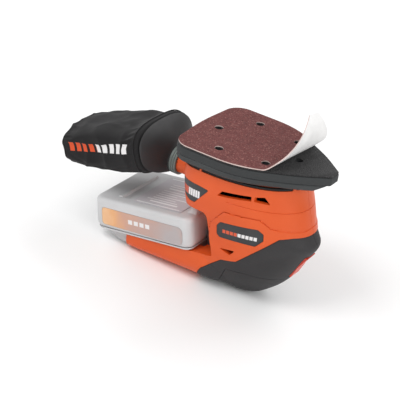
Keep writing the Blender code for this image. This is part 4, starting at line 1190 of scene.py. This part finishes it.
def build_flat_sheet(outline):
    """The part of the sheet that still lies on the pad."""
    behind = block((-0.2, -0.1, -0.01), (FOLD_START, 0.1, 0.01))
    behind.transform(fold_turn())
    flat_part = cut(kept(prism_z(outline, -SHEET_THICKNESS, 0.0), behind),
                    hole_cuts(SHEET_HOLE_RADIUS, -0.004, 0.002, DUST_HOLES[:5]))
    made = piece("sheet_flat", flat_part, None, "pad",
                 stands_for=["sanding_sheet"], sharp=50.0)
    inverse = TOOL.inverted()
    facing = [polygon.normal.dot(UP) for polygon in made.data.polygons]
    dress_sheet(made, [(inverse @ vertex.co)[:2] for vertex in made.data.vertices],
                [0 if up > 0.5 else 1 if up < -0.5 else 2 for up in facing])


def build_sheet():
    outline = pad_outline(0.0007)
    build_flat_sheet(outline)
    inverse = fold_turn().inverted()
    in_fold = [tuple((inverse @ Vector((x, y, 0.0)))[:2]) for x, y in outline]
    profile = fold_profile()
    tip = max(x for x, y in in_fold) - 0.00015
    ends = (FOLD_START, *MID_STRIPS,
            min(float(profile[-1][0]), tip + FOLD_EXTRA * flap_share(tip)))
    for (name, bodies, bend, node), first, last in zip(FLAPS, ends, ends[1:]):
        strip = build_flap_strip(name, first, last, profile, in_fold)
        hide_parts(node)
        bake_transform(strip)


# ---------------------------------------------------------------- battery pack
def pack_corners(inset):
    half = PACK_HALF_WIDTH
    return offset_corners([(PACK_REAR, -half, 0.0095), (PACK_FRONT, -half, 0.0085),
                           (PACK_FRONT, half, 0.0085), (PACK_REAR, half, 0.0095)], inset)


def ring_at(z, corners, degrees):
    return [(x, y, z) for x, y in rounded(corners, math.radians(degrees))]


def pack_rings(levels):
    """Rings of the pack's outline, from an inset and a height for each."""
    return loft([ring_at(z, pack_corners(inset), 6.0) for inset, z in levels])


def label_solid(side, growth):
    """The side label, or with some growth the pocket it lies in."""
    outline = rounded([(-0.0797 - growth, -0.0981 - growth, 0.003),
                       (0.0040 + growth, -0.1002 - growth, 0.005),
                       (0.0040 + growth, -0.0836 + growth, 0.005),
                       (-0.0797 - growth, -0.0826 + growth, 0.003)], math.radians(10.0))
    inner = side * (PACK_HALF_WIDTH - 0.0003 - (GAP if growth else 0.0))
    outer = side * (PACK_HALF_WIDTH + (0.001 if growth else 0.0))
    return prism_y(outline, min(inner, outer), max(inner, outer))


def pack_outside():
    """The pack's cover with its raised top, before anything is cut from it."""
    levels = [(0.0024, PACK_SEAM), (0.0016, PACK_SEAM + 0.0006), (0.0004, PACK_SEAM + 0.0030),
              (0.0, PACK_SEAM + 0.0050), (0.0, PACK_TOP - 0.0052)]
    for k in range(1, 7):
        turn = math.radians(15.0 * k)
        levels.append((PACK_ROUNDING * (1.0 - math.cos(turn)),
                       PACK_TOP - PACK_ROUNDING + PACK_ROUNDING * math.sin(turn)))
    hump = loft([ring_at(PACK_TOP + z, rectangle(low, high, half, radius), 15.0)
                 for low, high, half, radius, z in PACK_HUMP])
    return added(pack_rings(levels), hump, pack_bar(PACK_BAR))


def pack_bar(levels):
    """A bar across the top of the pack, from its levels as in PACK_BAR."""
    return loft([rectangle(PACK_REAR + low, PACK_REAR + high, half, PACK_TOP + z)
                 for low, high, half, z in levels])


def build_pack_case():
    hollow = []
    for inset, z in ((PACK_WALL, PACK_SEAM - 0.001), (PACK_WALL, PACK_TOP - 0.0050),
                     (PACK_WALL + 0.0034, PACK_TOP - 0.0024)):
        square = [(x, y, 0.0050) for x, y, radius in pack_corners(inset)]
        hollow.append(ring_at(z, square, 22.5))
    grooves = []
    for name, side in SIDES:
        grooves.append(tube([(x, side * (PACK_HALF_WIDTH + 0.0001), PACK_SEAM + 0.0242)
                             for x in np.linspace(-0.0800, 0.0050, 12)], 0.0005, 6))
    case = cut(pack_outside(), pack_bar(PACK_TROUGH), loft(hollow), *grooves,
               *[label_solid(side, GAP) for name, side in SIDES])
    piece("pack_case", case, GREY, "battery", PACK, ["pack_cover"])


def build_pack():
    build_pack_case()
    for name, side in SIDES:
        film = piece("pack_film_" + name, label_solid(side, 0.0), LABEL, "battery", PACK,
                     ["pack_label_" + name])
        add_print(film, PACK, (-0.0520, -0.0925, 0.0), (0.0240, 0.0040))
    tray = pack_rings([(0.0030, PACK_BOTTOM), (0.0018, PACK_BOTTOM + 0.0004),
                       (0.0012, PACK_BOTTOM + 0.0012), (0.0014, PACK_SEAM - GAP)])
    rails = mirrored_bar(((0.0196, -0.1030), (0.0196, -0.1076), (0.0232, -0.1076),
                          (0.0232, PACK_RAIL_BOTTOM)), -0.0610, 0.0080)
    foot = prism_y(PACK_FOOT, -0.0290, 0.0290)
    pocket = block((-0.0950, -0.0126, -0.1127), (-0.0715, 0.0126, -0.1061))
    piece("pack_tray", cut(added(tray, rails, foot), pocket), GREY, "battery", PACK,
          ["pack_base"])
    build_rating_label()


def build_rating_label():
    """A pale film with plain printed bars and no writing."""
    low = PACK_TOP + 0.0003
    high = low + 0.0004
    corners = rectangle(-0.0530, -0.0030, 0.0290, 0.002)
    film = prism_z(rounded(corners, math.radians(15.0)), low, high)
    piece("rating_film", film, FILM, "battery", PACK, ["rating_label"])
    bars = [block((start, side, high), (end, side + width, low + 0.00046))
            for start, end, side, width in RATING_BARS]
    piece("rating_print", joined(bars), WHITE_INK, "battery", PACK)

# ---------------------------------------------------------------- dust bag
def adapter_oval(share, half_width, half_height, squareness, setback=0.0):
    """A ring of the funnel, at its share of the way from the port to the bag's rim."""
    centre = Vector((-RIM_SETBACK * share - setback, 0.0, RIM_RISE * share))
    across = Matrix.Rotation(-BAG_TILT * share, 3, "Y")
    ovals = [oval_point(turn, half_width, half_height, squareness) for turn in turns(72)]
    return [centre + across @ Vector((0.0, y, z)) for y, z in ovals]


def build_adapter():
    outer = loft([adapter_oval(*row) for row in smooth_rows(ADAPTER_SECTIONS, 4)])
    hollow = []
    for share, half_width, half_height, squareness in ADAPTER_SECTIONS:
        hollow.append(adapter_oval(share, half_width - ADAPTER_WALL, half_height - ADAPTER_WALL,
                                   squareness, ADAPTER_WALL if share > 0.0 else -0.001))
    adapter = cut(outer, loft(hollow))
    adapter.transform(Matrix.Translation((-GAP, 0.0, 0.0)))
    piece("bag_funnel", adapter, ADAPTER, "bag", BAG, ["bag_adapter"], 50.0)
    collar = placed(turned(COLLAR_PROFILE, 64, True), along="X")
    piece("bag_ring", collar, COLLAR, "bag", BAG, ["bag_collar"])


def bag_place(reach, turn_share):
    """A point of the bag's skin, from the distance to the rim and the share of a turn."""
    rows = np.array(BAG_SECTIONS)
    half_width, half_height, squareness = (
        float(np.interp(reach, rows[:, 0], rows[:, k])) for k in (1, 2, 3))
    y, z = oval_point(2.0 * math.pi * turn_share, half_width, half_height, squareness)
    lift = Vector((0.0, 0.0, BAG_LIFT * reach / rows[-1, 0]))
    skin = Matrix.Rotation(-BAG_TILT, 3, "Y") @ Vector((0.0, y, z))
    return BAG_RIM + BAG_BACKWARD * reach + lift + skin


def bag_cage():
    """The bag's cloth before it sags: rings from the rim to the end, and a closed end."""
    rings = []
    for ring in range(BAG_LAST_RING + 1):
        reach = BAG_START + BAG_LENGTH * ring / BAG_LAST_RING
        rings.append([bag_place(reach, (i + 0.5) / BAG_COLUMNS) for i in range(BAG_COLUMNS)])
    end = rings[-1]
    centre = sum(end, Vector()) / BAG_COLUMNS
    for share in (0.94, 0.8, 0.6, 0.4, 0.2, 0.06):
        bulge = BAG_BACKWARD * BAG_END_BULGE * (1.0 - share * share)
        rings.append([centre + (point - centre) * share + bulge for point in end])
    return loft(rings, triangles=False)


def puff(mesh, held):
    """Lets the cloth swell and settle, holding some of its points."""
    body = stand("bag", mesh)
    group = body.vertex_groups.new(name="held")
    for index, weight in held.items():
        group.add([index], weight, "REPLACE")
    step = body.modifiers.new("cloth", "CLOTH")
    settings = step.settings
    settings.quality = 6
    settings.mass = 0.15
    settings.tension_stiffness = settings.compression_stiffness = 30.0
    settings.bending_stiffness = 0.6
    settings.use_pressure = True
    settings.uniform_pressure_force = 1.2
    settings.vertex_group_mass = "held"
    settings.effector_weights.gravity = 0.5
    step.collision_settings.use_collision = False
    step.point_cache.frame_start = 1
    step.point_cache.frame_end = CLOTH_FRAMES
    for number in range(1, CLOTH_FRAMES + 1):
        bpy.context.scene.frame_set(number)
    result = applied(body)
    bpy.context.scene.frame_set(1)
    return result


def swollen(mesh, rest):
    """The puffed bag, with no point further from its place than the limit."""
    held = {}
    for index in range(len(rest)):
        ring = index // BAG_COLUMNS
        if ring < 4:
            held[index] = 1.0
        elif ring > BAG_LAST_RING - 2:
            held[index] = 0.5
    mesh = puff(mesh, held)
    for vertex, start in zip(mesh.vertices, rest):
        move = vertex.co - start
        if move.length > BAG_SWELL_LIMIT:
            vertex.co = start + move.normalized() * BAG_SWELL_LIMIT
    return mesh


def build_bag():
    mesh = bag_cage()
    rest = [vertex.co.copy() for vertex in mesh.vertices]
    mesh = swollen(mesh, rest)
    crease_bag(mesh)
    flat = mesh.uv_layers.new(name="flat")
    ink = mesh.uv_layers.new(name="print")
    level = Matrix.Rotation(BAG_TILT, 3, "Y")
    for polygon in mesh.polygons:
        for loop in polygon.loop_indices:
            index = mesh.loops[loop].vertex_index
            ring, column = divmod(index, BAG_COLUMNS)
            flat.data[loop].uv = (ring * CLOTH_PITCH[0], column * CLOTH_PITCH[1])
            spot = level @ (rest[index] - BAG_RIM)
            printed_at = (1.0 + (spot.x - BAG_PRINT_END) / BAG_PRINT_SIZE[0],
                          (spot.z - BAG_PRINT_LOW) / BAG_PRINT_SIZE[1])
            ink.data[loop].uv = printed_at if spot.y < BAG_PRINT_SIDE else NO_PRINT
    bag = piece("bag_cloth", mesh, FABRIC, "bag", BAG, ["dust_bag"], 60.0)
    smooth = bag.modifiers.new("smooth", "SUBSURF")
    smooth.levels = smooth.render_levels = 1
    build_bag_seams(mesh)


def crease_bag(mesh):
    """Soft folds that run from the rim and gather towards the seams."""
    mesh.update()
    normals = [vertex.normal.copy() for vertex in mesh.vertices]
    for index, (vertex, normal) in enumerate(zip(mesh.vertices, normals)):
        share = min(1.0, index // BAG_COLUMNS / BAG_LAST_RING)
        fade = min(1.0, max(0.0, (share - 0.06) / 0.15))
        x, y, z = vertex.co
        long_folds = noise.noise(Vector((x * 22.0, y * 60.0, z * 60.0)))
        cross = noise.noise(Vector((x * 70.0 + 3.0, y * 30.0, z * 50.0)))
        ridge = 1.0 - abs(noise.noise(Vector((x * 38.0 + y * 26.0, y * 30.0,
                                              z * 34.0 + 7.0)))) * 2.2
        amount = LONG_FOLD * long_folds + CROSS_FOLD * cross + RIDGE * max(0.0, ridge) ** 3
        vertex.co += normal * ((amount - CLOTH_SINK) * fade)


def build_bag_seams(mesh):
    """Piping round the end panel, a hem at the rim and a seam along each lower side."""
    seams = []
    for ring, radius, rise in ((BAG_LAST_RING, 0.0006, 0.0002), (BAG_HEM_RING, 0.0004, 0.0003)):
        row = mesh.vertices[ring * BAG_COLUMNS:(ring + 1) * BAG_COLUMNS]
        line = [vertex.co + vertex.normal * rise for vertex in row]
        seams.append(tube(line + line[:2], radius, 8))
    for share in (0.605, 0.895):
        column = round(BAG_COLUMNS * share)
        line = [mesh.vertices[ring * BAG_COLUMNS + column].co
                for ring in range(BAG_HEM_RING, BAG_LAST_RING + 1)]
        seams.append(tube(line, 0.0005, 8))
    piece("bag_seams", joined(seams), SEAM, "bag", Matrix.Identity(4))


# ---------------------------------------------------------------- CAD pieces that stay
STAYING = {
    "dust_port": ORANGE, "dust_skirt": RUBBER, "chassis_plate": INNER, "motor_can": STEEL,
    "motor_end_cap": INNER, "motor_magnet_left": RUBBER, "motor_magnet_right": RUBBER,
    "front_bearing": STEEL, "rear_bearing": STEEL, "circuit_board": BOARD,
    "terminal_block": INNER, "lead_positive": LEAD_RED, "lead_negative": LEAD_BLACK,
    "switch_body": INNER, "switch_rocker": RED, "motor_armature": STEEL, "dust_fan": INNER,
    "eccentric_hub": STEEL, "pad_screw": STEEL, "pad_bearing": STEEL,
    "pack_release_button": RED,
}
STAYING.update({f"flex_post_{i}": RUBBER for i in range(1, 5)})
STAYING.update({f"housing_screw_{i}": STEEL for i in (1, 2, 3, 4, 6)})
STAYING.update({f"cell_{i}": WRAP for i in range(1, 6)})


def paint_staying():
    for name, paint in STAYING.items():
        cad = frame["nodes"][name]
        cad.data.materials.clear()
        cad.data.materials.append(paint.material)


# ---------------------------------------------------------------- studio
# each light's name, place, target, size and power
LIGHTS = (
    ("key", (-0.45, -0.75, 1.25), (0.0, 0.0, 0.08), (0.8, 0.8), 9.5),
    ("fill", (1.3, -0.6, 0.8), (0.0, 0.0, 0.08), (0.9, 0.9), 8.5),
    ("back", (0.1, 1.1, 1.2), (0.0, 0.0, 0.08), (1.2, 0.8), 8.0),
    ("low", (-1.3, 0.5, 0.5), (-0.05, 0.0, 0.06), (0.8, 0.5), 4.5),
)
WORLD_STRENGTH = 0.50
FLOOR_REACH = 6.0


def area_light(name, place, target, size, power):
    data = bpy.data.lights.new(name, "AREA")
    data.shape = "RECTANGLE"
    data.size, data.size_y = size
    data.energy = power
    lamp = stand(name, data)
    lamp.location = place
    direction = Vector(target) - Vector(place)
    lamp.rotation_euler = direction.to_track_quat("-Z", "Y").to_euler()


def build_studio():
    bpy.context.scene.view_settings.view_transform = "Standard"
    world = bpy.data.worlds.new("studio")
    bpy.context.scene.world = world
    world.use_nodes = True
    background = world.node_tree.nodes["Background"]
    background.inputs["Color"].default_value = (1.0, 1.0, 1.0, 1.0)
    background.inputs["Strength"].default_value = WORLD_STRENGTH
    for light in LIGHTS:
        area_light(*light)
    floor = bpy.data.meshes.new("floor")
    corners = [(x, y, 0.0) for x, y, z in rectangle(-FLOOR_REACH, FLOOR_REACH, FLOOR_REACH, 0.0)]
    floor.from_pydata(corners, [], [(0, 1, 2, 3)])
    ground = Paint("floor_white", 0.9, specular=0.1)
    ground.colour(ground.mixed(ground.spread(ground.noise(3.0), 0.3, 0.7),
                               (0.93, 0.93, 0.93, 1.0), (0.95, 0.95, 0.95, 1.0)))
    floor.materials.append(ground.material)
    stand("floor", floor)


CAMERA_PLACE = (0.5779, -0.9757, 0.5404)      # in the tool frame
CAMERA_RIGHT = (0.82550, 0.55284, 0.11371)
CAMERA_AHEAD = (-0.44267, 0.75915, -0.47721)
CAMERA_LENS = 135.0


def build_camera():
    data = bpy.data.cameras.new("camera")
    data.sensor_width = 36.0
    data.lens = CAMERA_LENS
    data.clip_start = 0.05
    data.clip_end = 50.0
    camera = stand("camera", data)
    right = Vector(CAMERA_RIGHT).normalized()
    back = -Vector(CAMERA_AHEAD).normalized()
    up = back.cross(right).normalized()
    turn = Matrix((right, up, back)).transposed().to_4x4()
    camera.matrix_world = TOOL @ Matrix.Translation(CAMERA_PLACE) @ turn
    bpy.context.scene.camera = camera


build_camera()
build_studio()
paint_staying()
build_body()
build_pad()
build_sheet()
build_pack()
build_adapter()
build_bag()
